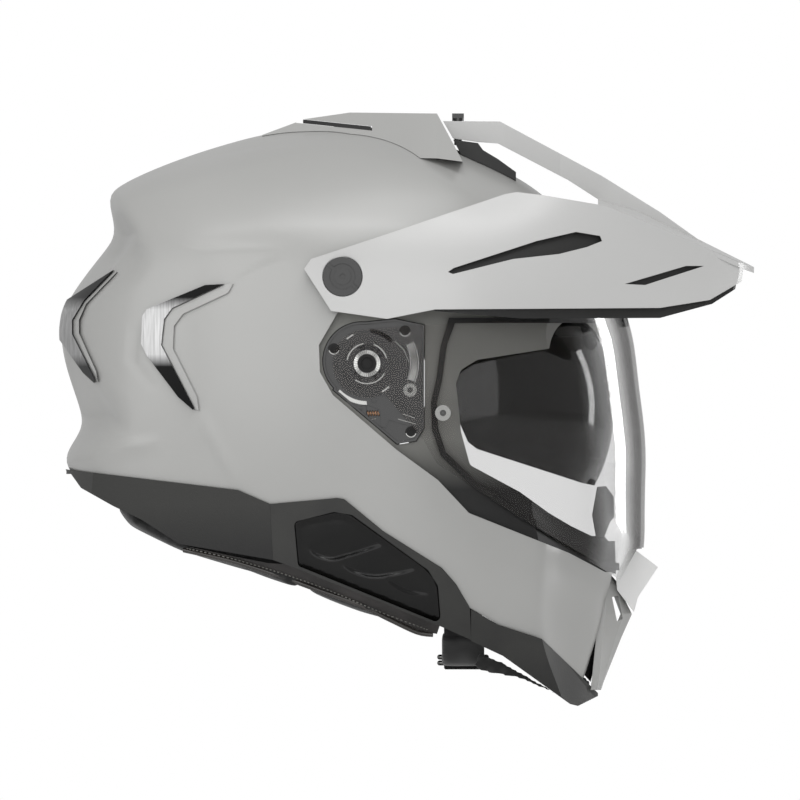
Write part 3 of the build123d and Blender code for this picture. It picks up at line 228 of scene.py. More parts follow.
# %% [markdown]
# The port's trim and the rear trim are one plastic, but they darken towards the chin, where the
# helmet shades them. That run of grey follows the height on the helmet. The liner is expanded
# polystyrene: beads of some millimetres that are steamed together, with dark gaps between them.

# %% Graded plastic and bead foam
FOAM_BEADS_PER_METRE = 300.0


def graded_abs(name, light, dark, top_pixel, low_pixel):
    """Textured plastic that turns from a light grey to black down the helmet."""
    material, shader = new_material(name)
    apart = add(material, "ShaderNodeSeparateXYZ", {"Vector": places(material)})
    height = add(material, "ShaderNodeMapRange", {"Value": apart.outputs["Z"],
                                                  "From Min": at(0, low_pixel)[1],
                                                  "From Max": at(0, top_pixel)[1]})
    set_inputs(material, shader, Roughness=0.55,
               Base_Color=fade(material, height.outputs["Result"], colour(dark), colour(light),
                               0.0, 1.0),
               Normal=grain(material, 0.8, 0.06, edge_mm=0.45))
    return material


port_abs = graded_abs("textured_abs_graded_grey", "7C7C78", "121212", 440, 490)
trim_abs = graded_abs("textured_abs_darkening", "2B2B29", "131313", 505, 552)
bead_foam, foam_shader = new_material("expanded_bead_foam")
beads = add(bead_foam, "ShaderNodeTexVoronoi",
            {"Vector": places(bead_foam), "Scale": FOAM_BEADS_PER_METRE})
foam_bump = add(bead_foam, "ShaderNodeBump", {"Height": beads.outputs["Distance"],
                                              "Strength": 0.6, "Distance": 0.3 * MM})
set_inputs(bead_foam, foam_shader, Roughness=0.85, Normal=foam_bump.outputs["Normal"],
           Base_Color=fade(bead_foam, beads.outputs["Distance"], colour("3A3A3A"),
                           colour("1C1C1C"), 0.1, 0.8))
print("materials so far:", len(bpy.data.materials))

# %% [markdown]
# ## Clear parts
# The shield is injected polycarbonate with a hard coat. Seen straight on it is nearly invisible,
# and towards its edges it mirrors the room, which is what the Fresnel law says. A thin clear wall
# can be drawn as that mirror alone, with everything else let through. The sun visor is the same
# plastic with smoke-grey dye in it, so it lets little light through.

# %% Clear and smoked polycarbonate


def clear_sheet():
    """A film mirroring more as it is grazed, with a painted dark reflection where seen edge-on."""
    material, shader = new_material("clear_polycarbonate")
    facing = add(material, "ShaderNodeLayerWeight", {"Blend": 0.5})
    grazing = add(material, "ShaderNodeMath", {0: facing.outputs["Facing"], 1: 3.0},
                  operation="POWER")
    film = add(material, "ShaderNodeMapRange", {"Value": grazing.outputs["Value"],
                                                "To Min": 0.09, "To Max": 0.95})
    mirror = fade(material, grazing.outputs["Value"], colour("3C3835"), colour("F0F0F0"),
                  0.02, 0.06)
    # Painted dark reflection: where the film is seen most edge-on it turns an opaque dark brown.
    rim = add(material, "ShaderNodeMapRange", {"Value": grazing.outputs["Value"],
                                               "From Min": 0.14, "From Max": 0.30})
    painted_darkening = add(material, "ShaderNodeMix", {0: rim.outputs["Result"], 6: mirror,
                                           7: colour("3A3531")}, data_type="RGBA")
    set_inputs(material, shader, Metallic=1.0, Roughness=0.02, Alpha=film.outputs["Result"],
               Base_Color=painted_darkening.outputs[2])
    return material


def smoked_sheet():
    """The sun visor's dyed plastic, which lets little through."""
    material, shader = new_material("smoked_polycarbonate")
    facing = add(material, "ShaderNodeLayerWeight", {"Blend": 0.3})
    film = add(material, "ShaderNodeMapRange", {"Value": facing.outputs["Fresnel"],
                                                "To Min": 0.90, "To Max": 0.98})
    set_inputs(material, shader, Roughness=0.06, IOR=1.58, Alpha=film.outputs["Result"],
               Base_Color=fade(material, facing.outputs["Fresnel"], colour("121312"),
                               colour("1E1F1E")))
    return material


shield_sheet = clear_sheet()
visor_sheet = smoked_sheet()
print("clear parts:", shield_sheet.name, visor_sheet.name)

# %% [markdown]
# ## Metals
# Screws are turned steel, the springs are drawn wire with a warm tint, and the bright lines of the
# pivot are polished steel laid on the edges of its black parts as painted highlights. Handling
# leaves small spots that are duller than the rest, so the roughness wanders a little. The fins are
# aluminium trims, brushed along the helmet, and painted black towards their tips as a painted
# reflection, so the colour follows the height on the helmet.

# %% Steel and spring wire


def metal(name, hex_value, roughness, size_mm=1.2, depth_mm=0.004):
    """Bare metal of one colour, whose roughness wanders a little round its own value."""
    material, shader = new_material(name)
    wear = add(material, "ShaderNodeTexNoise", {"Vector": places(material), "Scale": 400.0})
    rough = add(material, "ShaderNodeMapRange", {"Value": wear.outputs["Fac"],
                                                 "To Min": roughness * 0.8,
                                                 "To Max": roughness * 1.25})
    set_inputs(material, shader, Base_Color=colour(hex_value), Metallic=1.0,
               Roughness=rough.outputs["Result"],
               Normal=grain(material, size_mm, depth_mm, edge_mm=0.3))
    return material


turned_steel = metal("turned_steel", "858583", 0.25)
steel_and_painted_glints = metal("polished_steel_and_painted_glints", "A8A8A6", 0.16)
black_steel = metal("blackened_steel", "2A2A2A", 0.35)
spring_wire = metal("drawn_spring_wire", "C79A78", 0.28)
print("metals:", turned_steel.name, steel_and_painted_glints.name, black_steel.name, spring_wire.name)

# %% Brushed aluminium for the fins
# The strokes are far finer than a pixel here, so they are drawn coarse enough to show.
STROKES_PER_METRE = (1500.0, 300.0, 40.0)
# Where the fins' painted reflection stays bright, and how quickly it turns black.
FIN_MIDDLE = at(0, 332)[1]
FIN_BRIGHT_HALF = 13 * MM
FIN_FADE = 7 * MM


def aluminium_with_painted_dark_ends(name, pale):
    """Brushed aluminium, bright in the middle, with a painted reflection black up and down."""
    material, shader = new_material(name)
    place = places(material)
    apart = add(material, "ShaderNodeSeparateXYZ", {"Vector": place})
    # Painted reflection: the fin darkens to black with its distance above or below its middle.
    height = add(material, "ShaderNodeMath", {0: apart.outputs["Z"], 1: FIN_MIDDLE},
                 operation="SUBTRACT")
    away = add(material, "ShaderNodeMath", {0: height.outputs["Value"]}, operation="ABSOLUTE")
    painted_darkening = add(material, "ShaderNodeMapRange", {"Value": away.outputs["Value"],
                                                "From Min": FIN_BRIGHT_HALF,
                                                "From Max": FIN_BRIGHT_HALF + FIN_FADE})
    strokes = add(material, "ShaderNodeMapping", {"Vector": place, "Scale": STROKES_PER_METRE})
    streaks = add(material, "ShaderNodeTexNoise", {"Vector": strokes.outputs["Vector"],
                                                   "Scale": 1.0, "Detail": 3.0})
    bright = fade(material, streaks.outputs["Fac"], colour("9A9A9A"), colour(pale), 0.25, 0.75)
    mix = add(material, "ShaderNodeMix", {0: painted_darkening.outputs["Result"], 6: bright,
                                          7: colour("141414")}, data_type="RGBA")
    set_inputs(material, shader, Base_Color=mix.outputs[2], Metallic=0.85, Roughness=0.34,
               Normal=grain(material, 0.8, 0.003))
    return material


fin_aluminium = aluminium_with_painted_dark_ends("brushed_aluminium_painted_dark_ends", "C6C6C6")
print("the fins are bright for", round(2 * FIN_BRIGHT_HALF / MM), "mm")

# %% [markdown]
# ## The soft lining
# The lining is a brushed knit over foam, the chin strap is woven tape and its sleeves are a soft
# pile. Each weave below is drawn at the spacing of its threads, or as coarse as it needs to show.

# %% Cloths
WAVE_RUN = 20.0


def woven(name, dark, light, thread_mm, depth_mm, fuzz):
    """Two crossing sets of threads that follow the helmet's axes."""
    material, shader = new_material(name)
    place = places(material)
    threads = []
    for direction in ("X", "Z"):
        wave = add(material, "ShaderNodeTexWave",
                   {"Vector": place, "Scale": 1000.0 / thread_mm / WAVE_RUN, "Distortion": 1.5,
                    "Detail": 1.0}, wave_type="BANDS", bands_direction=direction)
        threads.append(wave.outputs["Fac"])
    crossing = add(material, "ShaderNodeMath", {0: threads[0], 1: threads[1]},
                   operation="MULTIPLY")
    bump = add(material, "ShaderNodeBump", {"Height": crossing.outputs["Value"],
                                            "Strength": 0.8, "Distance": depth_mm * MM})
    set_inputs(material, shader, Roughness=0.9, Sheen_Weight=fuzz, Sheen_Roughness=0.5,
               Normal=bump.outputs["Normal"],
               Base_Color=fade(material, crossing.outputs["Value"], colour(dark),
                               colour(light), 0.1, 0.9))
    return material


brushed_knit = woven("brushed_knit_charcoal", "171717", "2A2A2A", 1.2, 0.15, 0.25)
strap_tape = woven("woven_polyester_tape", "0F0F0F", "202020", 1.6, 0.2, 0.1)
soft_pile = woven("soft_pile_black", "111111", "262626", 2.0, 0.5, 0.5)
print("cloths:", brushed_knit.name, strap_tape.name, soft_pile.name)

# %% [markdown]
# Four small finishes are left: the speckled acetal of the pivot's scale, whose grey is mottled by
# its filler, the band of embossed vinyl along the cheeks, its glossy piping, and waxed thread. All
# four are moulded or pressed surfaces, so the same function makes them.

# %% Acetal, vinyl, piping and thread
speckled_pom = moulded("speckled_acetal", "6E6E6C", "C4C4C2", 0.35, 0.8, 0.02)
embossed_vinyl = moulded("embossed_vinyl", "1C1A19", "383534", 0.42, 0.9, 0.12)
glossy_piping = moulded("glossy_piping", "2A2725", "3A3633", 0.2, 3.0, 0.02, coat=0.5)
thread = moulded("waxed_thread", "5A5955", "7A7975", 0.6, 0.6, 0.05)
print("materials in all:", len(bpy.data.materials))

# %% [markdown]
# ## The skin of the shell
# The engineering shell is a smooth form. The real one is modelled like a car's wing, with soft
# ridges that run into the fins and a hollow under the roof's rear lip. We start from a sphere in
# the head, push each of its points out until it lies on the shell, fill the openings smoothly,
# and then raise the ridges. It gives even faces that reflect without ripples.

# %% A sphere pushed out to the shell
SKIN_CENTRE = Vector((-0.010, 0.0, -0.020))
SKIN_SEGMENTS, SKIN_RINGS = 288, 196
TRIM_STAND = 1.6 * MM
SEAT_DEPTH = 4.3 * MM
RAY_START, RAY_LENGTH = 0.5, 0.45
LEAST_FACING = 0.45
FILL_ROUNDS = 900


def tree_of(node_name):
    """A search tree over one engineering piece."""
    return BVHTree.FromPolygons([v.co for v in nodes[node_name].data.vertices],
                                [p.vertices for p in nodes[node_name].data.polygons])


def pushed_out(sphere, layers):
    """How far each point of the sphere goes to meet the outermost layer, or NaN where none is."""
    trees = [(tree_of(name), stand) for name, stand in layers]
    reach = np.full(len(sphere.data.vertices), np.nan)
    for i, vertex in enumerate(sphere.data.vertices):
        outwards = vertex.co.normalized()
        for tree, stand in trees:
            start = SKIN_CENTRE + outwards * RAY_START
            hit, normal, _, gap = tree.ray_cast(start, -outwards, RAY_LENGTH)
            if hit is None:
                continue
            facing = abs(normal.dot(outwards))
            if facing > LEAST_FACING:
                distance = RAY_START - gap - stand / facing
                if not reach[i] > distance:
                    reach[i] = distance
    return reach


def spread(values, edges, known, rounds):
    """Fill the unknown values with the mean of their neighbours, again and again."""
    share = np.zeros(len(values))
    np.add.at(share, edges[:, 0], 1)
    np.add.at(share, edges[:, 1], 1)
    for _ in range(rounds):
        total = np.zeros(len(values))
        np.add.at(total, edges[:, 0], values[edges[:, 1]])
        np.add.at(total, edges[:, 1], values[edges[:, 0]])
        values = np.where(known, values, total / share)
    return values


bpy.ops.object.select_all(action="DESELECT")
bpy.ops.mesh.primitive_uv_sphere_add(segments=SKIN_SEGMENTS, ring_count=SKIN_RINGS, radius=1.0)
sphere = bpy.context.object
edges = np.array([e.vertices[:] for e in sphere.data.edges])
reach = pushed_out(sphere, [("shell", 0.0), ("rear_trim", TRIM_STAND), ("front_trim", TRIM_STAND),
                            ("side_cover_frame_left", TRIM_STAND), ("side_cover_left", 0.0),
                            ("side_cover_frame_right", TRIM_STAND), ("side_cover_right", 0.0),
                            ("eyeport_trim", -SEAT_DEPTH)])
known = ~np.isnan(reach)
edge_known = known[edges[:, 0]] & known[edges[:, 1]]
rim = np.ones(len(reach), bool)
rim[edges[~edge_known].ravel()] = False
known &= rim
filled = spread(np.where(known, reach, np.nanmean(reach)), edges, known, FILL_ROUNDS)
print("points of the skin that lie on the engineering shell:", int(known.sum()))

# %% [markdown]
# On the real shell, the roof breaks into the side along a soft crease, thin ridges lead the air to
# the fins, and there is a hollow under the rear lip of the roof. They could be sculpted by hand. As
# lines with a height and two widths they are easier to set against the photograph, and each one
# stays where it was read.

# %% Ridges and hollows, in pixels of the side view
# Each line: its points, its height in mm, and how far it fades above and below, in pixels.
RIDGES = {
    "roof_crease": ([(104, 196), (122, 193), (150, 180), (195, 165), (258, 151), (300, 148)],
                    2.6, 6, 24),
    "rear_scoop_edge": ([(142, 235), (130, 252), (112, 275)], 1.6, 7, 16),
    "fin_upper_line": ([(230, 286), (262, 268), (292, 255)], 0.9, 5, 22),
    "fin_lower_line": ([(197, 412), (220, 455), (238, 488)], 1.0, 14, 5),
    "tail_ridge": ([(78, 462), (96, 456), (122, 446), (160, 440)], 1.2, 7, 16),
    "cheek_line": ([(92, 388), (108, 410), (126, 434)], -0.9, 6, 8),
    "side_wave": ([(142, 232), (200, 252), (290, 250)], 0.9, 12, 40),
}
# Each hollow: its outline, its depth in mm, and the width of its banks in pixels.
HOLLOWS = [
    ([(118, 212), (126, 218), (140, 234), (128, 252), (113, 268), (106, 258), (114, 236)], 2.4, 9),
    ([(131, 325), (126, 360), (150, 392), (158, 388), (138, 360), (141, 325)], 0.8, 5),
]
print("ridges:", ", ".join(RIDGES))

# %% Distance to a line, and places inside an outline


def nearest_on(points, px, py):
    """Distance to a line in pixels, the side of it, and the share of its length, for places."""
    runs = [math.dist(a, b) for a, b in zip(points, points[1:])]
    best = np.full(np.shape(px), 1e9)
    side, share = np.zeros(np.shape(px)), np.zeros(np.shape(px))
    for k, ((ax, ay), (bx, by)) in enumerate(zip(points, points[1:])):
        run = np.array([bx - ax, by - ay], float)
        t = np.clip(((px - ax) * run[0] + (py - ay) * run[1]) / (run @ run), 0, 1)
        dx, dy = px - (ax + t * run[0]), py - (ay + t * run[1])
        away = np.hypot(dx, dy)
        closer = away < best
        best = np.where(closer, away, best)
        side = np.where(closer, np.sign(run[0] * dy - run[1] * dx), side)
        share = np.where(closer, (sum(runs[:k]) + t * runs[k]) / sum(runs), share)
    return best, side, share


def taper(share, ends=0.25):
    """One along a line, easing to nothing at its two ends."""
    return np.clip(np.minimum(share, 1 - share) / ends, 0, 1) ** 0.7


def inside(points, px, py):
    """Which places lie inside a polygon of the side view."""
    odd = np.zeros(np.shape(px), bool)
    for (ax, ay), (bx, by) in zip(points, points[1:] + points[:1]):
        if ay != by:
            odd ^= ((ay > py) != (by > py)) & (px < (bx - ax) * (py - ay) / (by - ay) + ax)
    return odd


print("one pixel beside a line:", nearest_on([(0, 0), (9, 0)], np.array([4.0]), np.array([1.0])))

# %% The relief of the skin
# The ridges are on the sides only, so they fade out towards the middle of the helmet.
MIDDLE_FREE, SIDE_RUN = 0.12, 0.35
filled = spread(filled, edges, np.zeros(len(filled), bool), 2)
directions = np.array([(v.co / v.co.length)[:] for v in sphere.data.vertices])
skin_places = np.array(SKIN_CENTRE) + directions * filled[:, None]
skin_px = skin_places[:, 0] / PIXEL + PIVOT_PIXEL[0]
skin_py = PIVOT_PIXEL[1] - skin_places[:, 2] / PIXEL
sideways = np.clip((np.abs(directions[:, 1]) - MIDDLE_FREE) / SIDE_RUN, 0, 1)
raised = np.zeros(len(filled))
for points, height, before_px, after_px in RIDGES.values():
    away, side, share = nearest_on(points, skin_px, skin_py)
    fade_px = np.where(side < 0, before_px, after_px)
    profile = np.clip(1 - away / fade_px, 0, 1) ** 1.6
    raised += height * MM * profile * taper(share) * sideways
for points, depth, fade_px in HOLLOWS:
    away, _, _ = nearest_on(points + points[:1], skin_px, skin_py)
    raised -= depth * MM * np.clip(away / fade_px, 0, 1) * inside(points, skin_px, skin_py)
print("the relief goes from", round(float(raised.min()) / MM, 2), "to",
      round(float(raised.max()) / MM, 2), "mm")

# %% [markdown]
# A moulded shell is a few millimetres thick, and its edge shows at the eye port. So the skin gets
# an inner wall as well as an outer one. The cuts that follow then leave a closed edge between them.

# %% The skin's two walls
SKIN_WALL = 3.5 * MM
EASING_ROUNDS, EASING_SHARE = 3, 0.6


def eased(values, rounds, share):
    """Ease values towards the mean of their neighbours."""
    free = np.zeros(len(values), bool)
    for _ in range(rounds):
        values = (1 - share) * values + share * spread(values, edges, free, 1)
    return values


outer_reach = eased(filled, EASING_ROUNDS, EASING_SHARE) + raised
outer_points = np.array(SKIN_CENTRE) + directions * outer_reach[:, None]
inner_points = np.array(SKIN_CENTRE) + directions * (outer_reach - SKIN_WALL)[:, None]
body_faces = [list(polygon.vertices) for polygon in sphere.data.polygons]
inner_faces = [[i + len(outer_points) for i in reversed(face)] for face in body_faces]
bpy.data.objects.remove(sphere)
mesh = bpy.data.meshes.new("shell_skin")
mesh.from_pydata(np.vstack([outer_points, inner_points]).tolist(), [], body_faces + inner_faces)
skin = bpy.data.objects.new("shell_skin", mesh)
bpy.context.scene.collection.objects.link(skin)
print("skin faces:", len(skin.data.polygons))

# %% [markdown]
# The shell ends at the trims, leaves the eye port open and has a flat seat for the chin panel. Each
# of these edges is a line of the side view. A prism of that line cuts the skin, as a saw would. The
# hole of the peak's screw comes first, while the skin is still one plain closed body.

# %% The outlines of the shell and its openings
SHELL_OUTLINE = [
    (20, 20), (760, 20), (760, 720), (598, 700), (598, 693), (542, 639), (499, 625), (470, 608),
    (456, 584), (442, 568), (383, 531), (344, 499), (337, 498), (270, 504), (238, 490),
    (79, 471), (20, 463),
]
EYE_ZONE = [
    (345, 300), (760, 300), (760, 572), (605, 572), (569, 553), (469, 513), (438, 480),
    (397, 450), (333, 395), (320, 372), (319, 345),
]
CHIN_SEAT = [(585, 560), (760, 560), (760, 730), (585, 730)]
CHIN_HALF_WIDTH = 20.5 * MM
SCREW_HOLE = ((342.5, 276.5), 3.05 * MM)
PRISM_HALF_WIDTH = 0.3
print("corners of the shell's outline:", len(SHELL_OUTLINE), "of the eye zone:", len(EYE_ZONE))

# %% Prisms that cut


def closed_mesh(name, vertices, faces):
    """A new object from points and faces, with every face turned outwards."""
    mesh = bpy.data.meshes.new(name)
    mesh.from_pydata(vertices, [], faces)
    piece = bpy.data.objects.new(name, mesh)
    bpy.context.scene.collection.objects.link(piece)
    bpy.ops.object.select_all(action="DESELECT")
    piece.select_set(True)
    bpy.context.view_layer.objects.active = piece
    bpy.ops.object.mode_set(mode="EDIT")
    bpy.ops.mesh.select_all(action="SELECT")
    bpy.ops.mesh.normals_make_consistent(inside=False)
    bpy.ops.object.mode_set(mode="OBJECT")
    return piece


def side_prism(name, pixels, half_width=PRISM_HALF_WIDTH):
    """A side-view outline pushed across the helmet."""
    count = len(pixels)
    corners = [at(*pixel) for pixel in pixels]
    vertices = [(x, y, z) for y in (-half_width, half_width) for x, z in corners]
    faces = [list(range(count)), list(range(2 * count - 1, count - 1, -1))]
    faces += [[i, i + count, (i + 1) % count + count, (i + 1) % count] for i in range(count)]
    return closed_mesh(name, vertices, faces)


def round_pixels(centre, radius, count=48):
    """A circle of the side view as pixels."""
    turns = [2 * math.pi * k / count for k in range(count)]
    return [(centre[0] + radius / PIXEL * math.cos(turn),
             centre[1] + radius / PIXEL * math.sin(turn)) for turn in turns]


def cut(piece, cutter, operation="DIFFERENCE"):
    """Cut a piece with another, which is then thrown away."""
    boolean = piece.modifiers.new("cut", "BOOLEAN")
    boolean.operation, boolean.solver, boolean.object = operation, "EXACT", cutter
    bpy.ops.object.select_all(action="DESELECT")
    piece.select_set(True)
    bpy.context.view_layer.objects.active = piece
    bpy.ops.object.modifier_apply(modifier="cut")
    bpy.data.objects.remove(cutter)


print("a screw hole has", len(round_pixels(*SCREW_HOLE, 24)), "sides")

# %% Cut the skin and paint it
cut(skin, side_prism("screw_hole", round_pixels(*SCREW_HOLE, 24)))
cut(skin, side_prism("shell_outline", SHELL_OUTLINE), "INTERSECT")
cut(skin, side_prism("eye_zone", EYE_ZONE))
cut(skin, side_prism("chin_seat", CHIN_SEAT, CHIN_HALF_WIDTH))
bpy.ops.object.select_all(action="DESELECT")
skin.select_set(True)
bpy.context.view_layer.objects.active = skin
bpy.ops.object.shade_smooth_by_angle(angle=math.radians(38))
skin.data.materials.clear()
skin.data.materials.append(shell_lacquer)
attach(skin, "helmet")
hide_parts("shell")
print("shell skin faces:", len(skin.data.polygons))

# %% [markdown]
# ## Making the soft pieces soft
# Foam under a knit is never as crisp as its engineering solid. Each soft piece below starts from a
# copy of its solid, a little shrunk, remeshed in even squares, and is blown up by the cloth
# simulation as if its foam pushed its cover out. The move is capped, so a pad stays in its place
# between its neighbours.

# %% Copies of engineering pieces


def copy_of(names, new_name):
    """One new object with the merged meshes of some engineering pieces."""
    bpy.ops.object.select_all(action="DESELECT")
    for node_name in names:
        piece = nodes[node_name].copy()
        piece.data = nodes[node_name].data.copy()
        bpy.context.scene.collection.objects.link(piece)
        piece.parent = None
        piece.matrix_world = nodes[node_name].matrix_world
        piece.select_set(True)
        bpy.context.view_layer.objects.active = piece
    if len(names) > 1:
        bpy.ops.object.join()
    piece = bpy.context.object
    piece.name = piece.data.name = new_name
    bpy.ops.object.mode_set(mode="EDIT")
    bpy.ops.mesh.select_all(action="SELECT")
    bpy.ops.mesh.remove_doubles(threshold=1e-6)
    bpy.ops.mesh.customdata_custom_splitnormals_clear()
    bpy.ops.object.mode_set(mode="OBJECT")
    piece.data.materials.clear()
    return piece


def apply_all(piece):
    """Apply a piece's modifiers in their order."""
    bpy.ops.object.select_all(action="DESELECT")
    piece.select_set(True)
    bpy.context.view_layer.objects.active = piece
    for modifier in list(piece.modifiers):
        bpy.ops.object.modifier_apply(modifier=modifier.name)


def vertex_array(piece):
    """The places of a piece's points, as rows."""
    flat = np.empty(len(piece.data.vertices) * 3)
    piece.data.vertices.foreach_get("co", flat)
    return flat.reshape(-1, 3)


print("points of the crown pad's solid:", len(vertex_array(nodes["crown_pad"])))

# %% The padding itself
SIM_FRAMES = 20
FOAM_PRESSURE = 4.0


def padded_piece(names, new_name, material, voxel_mm, shrink_mm, cap_mm, ease):
    """A pad from engineering solids: remeshed, shrunk, blown up by cloth, capped and smoothed."""
    pad = copy_of(names, new_name)
    remesh = pad.modifiers.new("remesh", "REMESH")
    remesh.mode, remesh.voxel_size = "VOXEL", voxel_mm * MM
    shrink = pad.modifiers.new("shrink", "DISPLACE")
    shrink.strength, shrink.mid_level = -shrink_mm * MM, 0.0
    soften = pad.modifiers.new("soften", "SMOOTH")
    soften.factor, soften.iterations = 0.5, ease
    apply_all(pad)
    before = vertex_array(pad)
    cloth = pad.modifiers.new("cloth", "CLOTH")
    cloth.settings.quality = 5
    cloth.settings.use_pressure = True
    cloth.settings.uniform_pressure_force = FOAM_PRESSURE
    cloth.settings.effector_weights.gravity = 0.0
    cloth.point_cache.frame_start, cloth.point_cache.frame_end = 1, SIM_FRAMES
    for frame_number in range(1, SIM_FRAMES + 1):
        bpy.context.scene.frame_set(frame_number)
    apply_all(pad)
    bpy.context.scene.frame_set(1)
    moves = vertex_array(pad) - before
    length = np.linalg.norm(moves, axis=1, keepdims=True)
    moves *= np.minimum(1.0, cap_mm * MM / np.maximum(length, 1e-9))
    pad.data.vertices.foreach_set("co", (before + moves).ravel())
    pad.data.update()
    print(new_name, "largest move in mm:", round(float(length.max()) / MM, 2))
    finer = pad.modifiers.new("finer", "SUBSURF")
    finer.levels = finer.render_levels = 1
    apply_all(pad)
    pad.data.polygons.foreach_set("use_smooth", [True] * len(pad.data.polygons))
    pad.data.materials.append(material)
    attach(pad, "helmet")
    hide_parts(*names)
    return pad


print("frames of the cloth simulation:", SIM_FRAMES)

# %% [markdown]
# The crown pad and the cheek pads are thick foam in a brushed knit. The neck roll is slimmer, the
# sleeves of the strap are soft pile, and the curtain under the chin is two layers of knit with
# nearly nothing between them. So each has its own square size, shrinkage and largest move, in
# millimetres, and its own fill.

# %% The lining: crown, cheeks, neck roll, strap sleeves and chin curtain
LINING = [
    ("crown_pad", "crown_lining", brushed_knit, 6.0, 2.0, 4.0, 0.5, 3),
    ("cheek_pad_right", "cheek_lining_right", brushed_knit, 5.0, 2.0, 4.0, 0.7, 3),
    ("cheek_pad_left", "cheek_lining_left", brushed_knit, 5.0, 2.0, 4.0, 0.7, 3),
    ("neck_roll", "neck_roll_lining", brushed_knit, 4.0, 1.5, 3.0, 0.7, 3),
    ("strap_pads", "strap_sleeves", soft_pile, 2.0, 0.6, 1.2, 0.6, 3),
    ("chin_curtain", "chin_wind_skirt", brushed_knit, 1.6, 0.25, 0.8, 0.4, 1),
]
for node_name, new_name, cloth_finish, voxel_mm, shrink_mm, cap_mm, fill, ease in LINING:
    pad = padded_piece([node_name], new_name, cloth_finish, voxel_mm, shrink_mm, cap_mm, ease)
    print(pad.name, "faces:", len(pad.data.polygons))

# %% [markdown]
# ## Plates that follow the body
# The side covers, their dished leaves and the small parts of the pivot are all drawn in the side
# view and lie on a surface. One function looks up how far out a surface is at a pixel, and a
# second lays a grid of points there, lifts them by a small relief, gives the sheet a wall and
# trims it to its outline.

# %% Looking up surfaces
body_tree = BVHTree.FromPolygons(outer_points.tolist(), body_faces)
FAR_OUT = 0.3
NEAR_SIDE = -0.1


def depth_at(px, py, trees):
    """How far the outermost of some surfaces, or else their nearest point, is from the middle."""
    x, z = at(px, py)
    hits = [tree.ray_cast(Vector((x, -FAR_OUT, z)), Vector((0, 1, 0)), FAR_OUT)[0]
            for tree in trees]
    depths = [-hit.y for hit in hits if hit is not None]
    return max(depths) if depths else -trees[0].find_nearest(Vector((x, NEAR_SIDE, z)))[0].y


print("the body stands", round(depth_at(300, 300, [body_tree]) / MM, 1), "mm out at 300, 300")

# %% The relief plate
PLATE_MARGIN = 2


def relief_plate(name, outline, lift, wall_mm, step=0.8):
    """A plate of the right side: the body's surface inside an outline, lifted by a relief."""
    across, down = [p[0] for p in outline], [p[1] for p in outline]
    xs = np.arange(min(across) - PLATE_MARGIN, max(across) + PLATE_MARGIN, step)
    ys = np.arange(min(down) - PLATE_MARGIN, max(down) + PLATE_MARGIN, step)
    wide, tall = len(xs), len(ys)
    rise = lift(*np.meshgrid(xs, ys)) * MM
    outer = []
    for row in range(tall):
        for column in range(wide):
            x, z = at(xs[column], ys[row])
            outer.append((x, -depth_at(xs[column], ys[row], [body_tree]) - rise[row, column], z))
    inner = [(x, y + wall_mm * MM, z) for x, y, z in outer]
    count = len(outer)
    faces = [[r * wide + c, (r + 1) * wide + c, (r + 1) * wide + c + 1, r * wide + c + 1]
             for r in range(tall - 1) for c in range(wide - 1)]
    faces += [[i + count for i in reversed(face)] for face in faces]
    loop = (list(range(wide)) + [r * wide + wide - 1 for r in range(1, tall)]
            + [(tall - 1) * wide + c for c in range(wide - 2, -1, -1)]
            + [r * wide for r in range(tall - 2, 0, -1)])
    faces += [[i, j, j + count, i + count] for i, j in zip(loop, loop[1:] + loop[:1])]
    mesh = bpy.data.meshes.new(name)
    mesh.from_pydata(outer + inner, [], faces)
    plate = bpy.data.objects.new(name, mesh)
    bpy.context.scene.collection.objects.link(plate)
    cut(plate, side_prism(name + "_outline", outline), "INTERSECT")
    return plate


print("a plate's grid reaches", PLATE_MARGIN, "pixels past its outline")

# %% Finishing a piece, and its twin on the left


def finish_plate(piece, material, node_names, body="helmet", angle=40):
    """Smooth a piece by angle, give it its finish, and put it in its nodes' place."""
    bpy.ops.object.select_all(action="DESELECT")
    piece.select_set(True)
    bpy.context.view_layer.objects.active = piece
    bpy.ops.object.shade_smooth_by_angle(angle=math.radians(angle))
    piece.data.materials.clear()
    piece.data.materials.append(material)
    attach(piece, body)
    if node_names:
        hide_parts(*node_names)
    return piece


def mirrored(piece, name):
    """The same piece on the left side."""
    twin = piece.copy()
    twin.data = piece.data.copy()
    twin.name = twin.data.name = name
    bpy.context.scene.collection.objects.link(twin)
    flat = vertex_array(twin)
    flat[:, 1] *= -1
    twin.data.vertices.foreach_set("co", flat.ravel())
    twin.data.flip_normals()
    for key in [k for k in twin.keys() if k.startswith("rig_")]:
        del twin[key]
    return twin


print("faces are smooth up to 40 degrees, unless a piece says otherwise")

# %% Smooth lines of the side view


def eased_line(points, step=2.0):
    """A smooth line of the side view through some pixels."""
    line = []
    ends = [points[0]] + list(points) + [points[-1]]
    for a, b, c, d in zip(ends, ends[1:], ends[2:], ends[3:]):
        count = max(1, int(math.dist(b, c) / step))
        for k in range(count):
            t = k / count
            line.append(tuple(0.5 * (2 * b[i] + (c[i] - a[i]) * t
                                     + (2 * a[i] - 5 * b[i] + 4 * c[i] - d[i]) * t ** 2
                                     + (3 * b[i] - a[i] - 3 * c[i] + d[i]) * t ** 3)
                              for i in (0, 1)))
    return line + [tuple(points[-1])]


print("a run of 10 pixels gets", len(eased_line([(0, 0), (10, 0)])), "points")

# %% [markdown]
# ## The side covers
# Each cover is a satin panel with a bevelled rim. Three leaves are pressed into it: each has a
# sharp lip and runs out softly above it. A modeller would sculpt them. Here a height is worked out
# for each place of the cover from its distance to the leaf's lip, which keeps both sides alike.

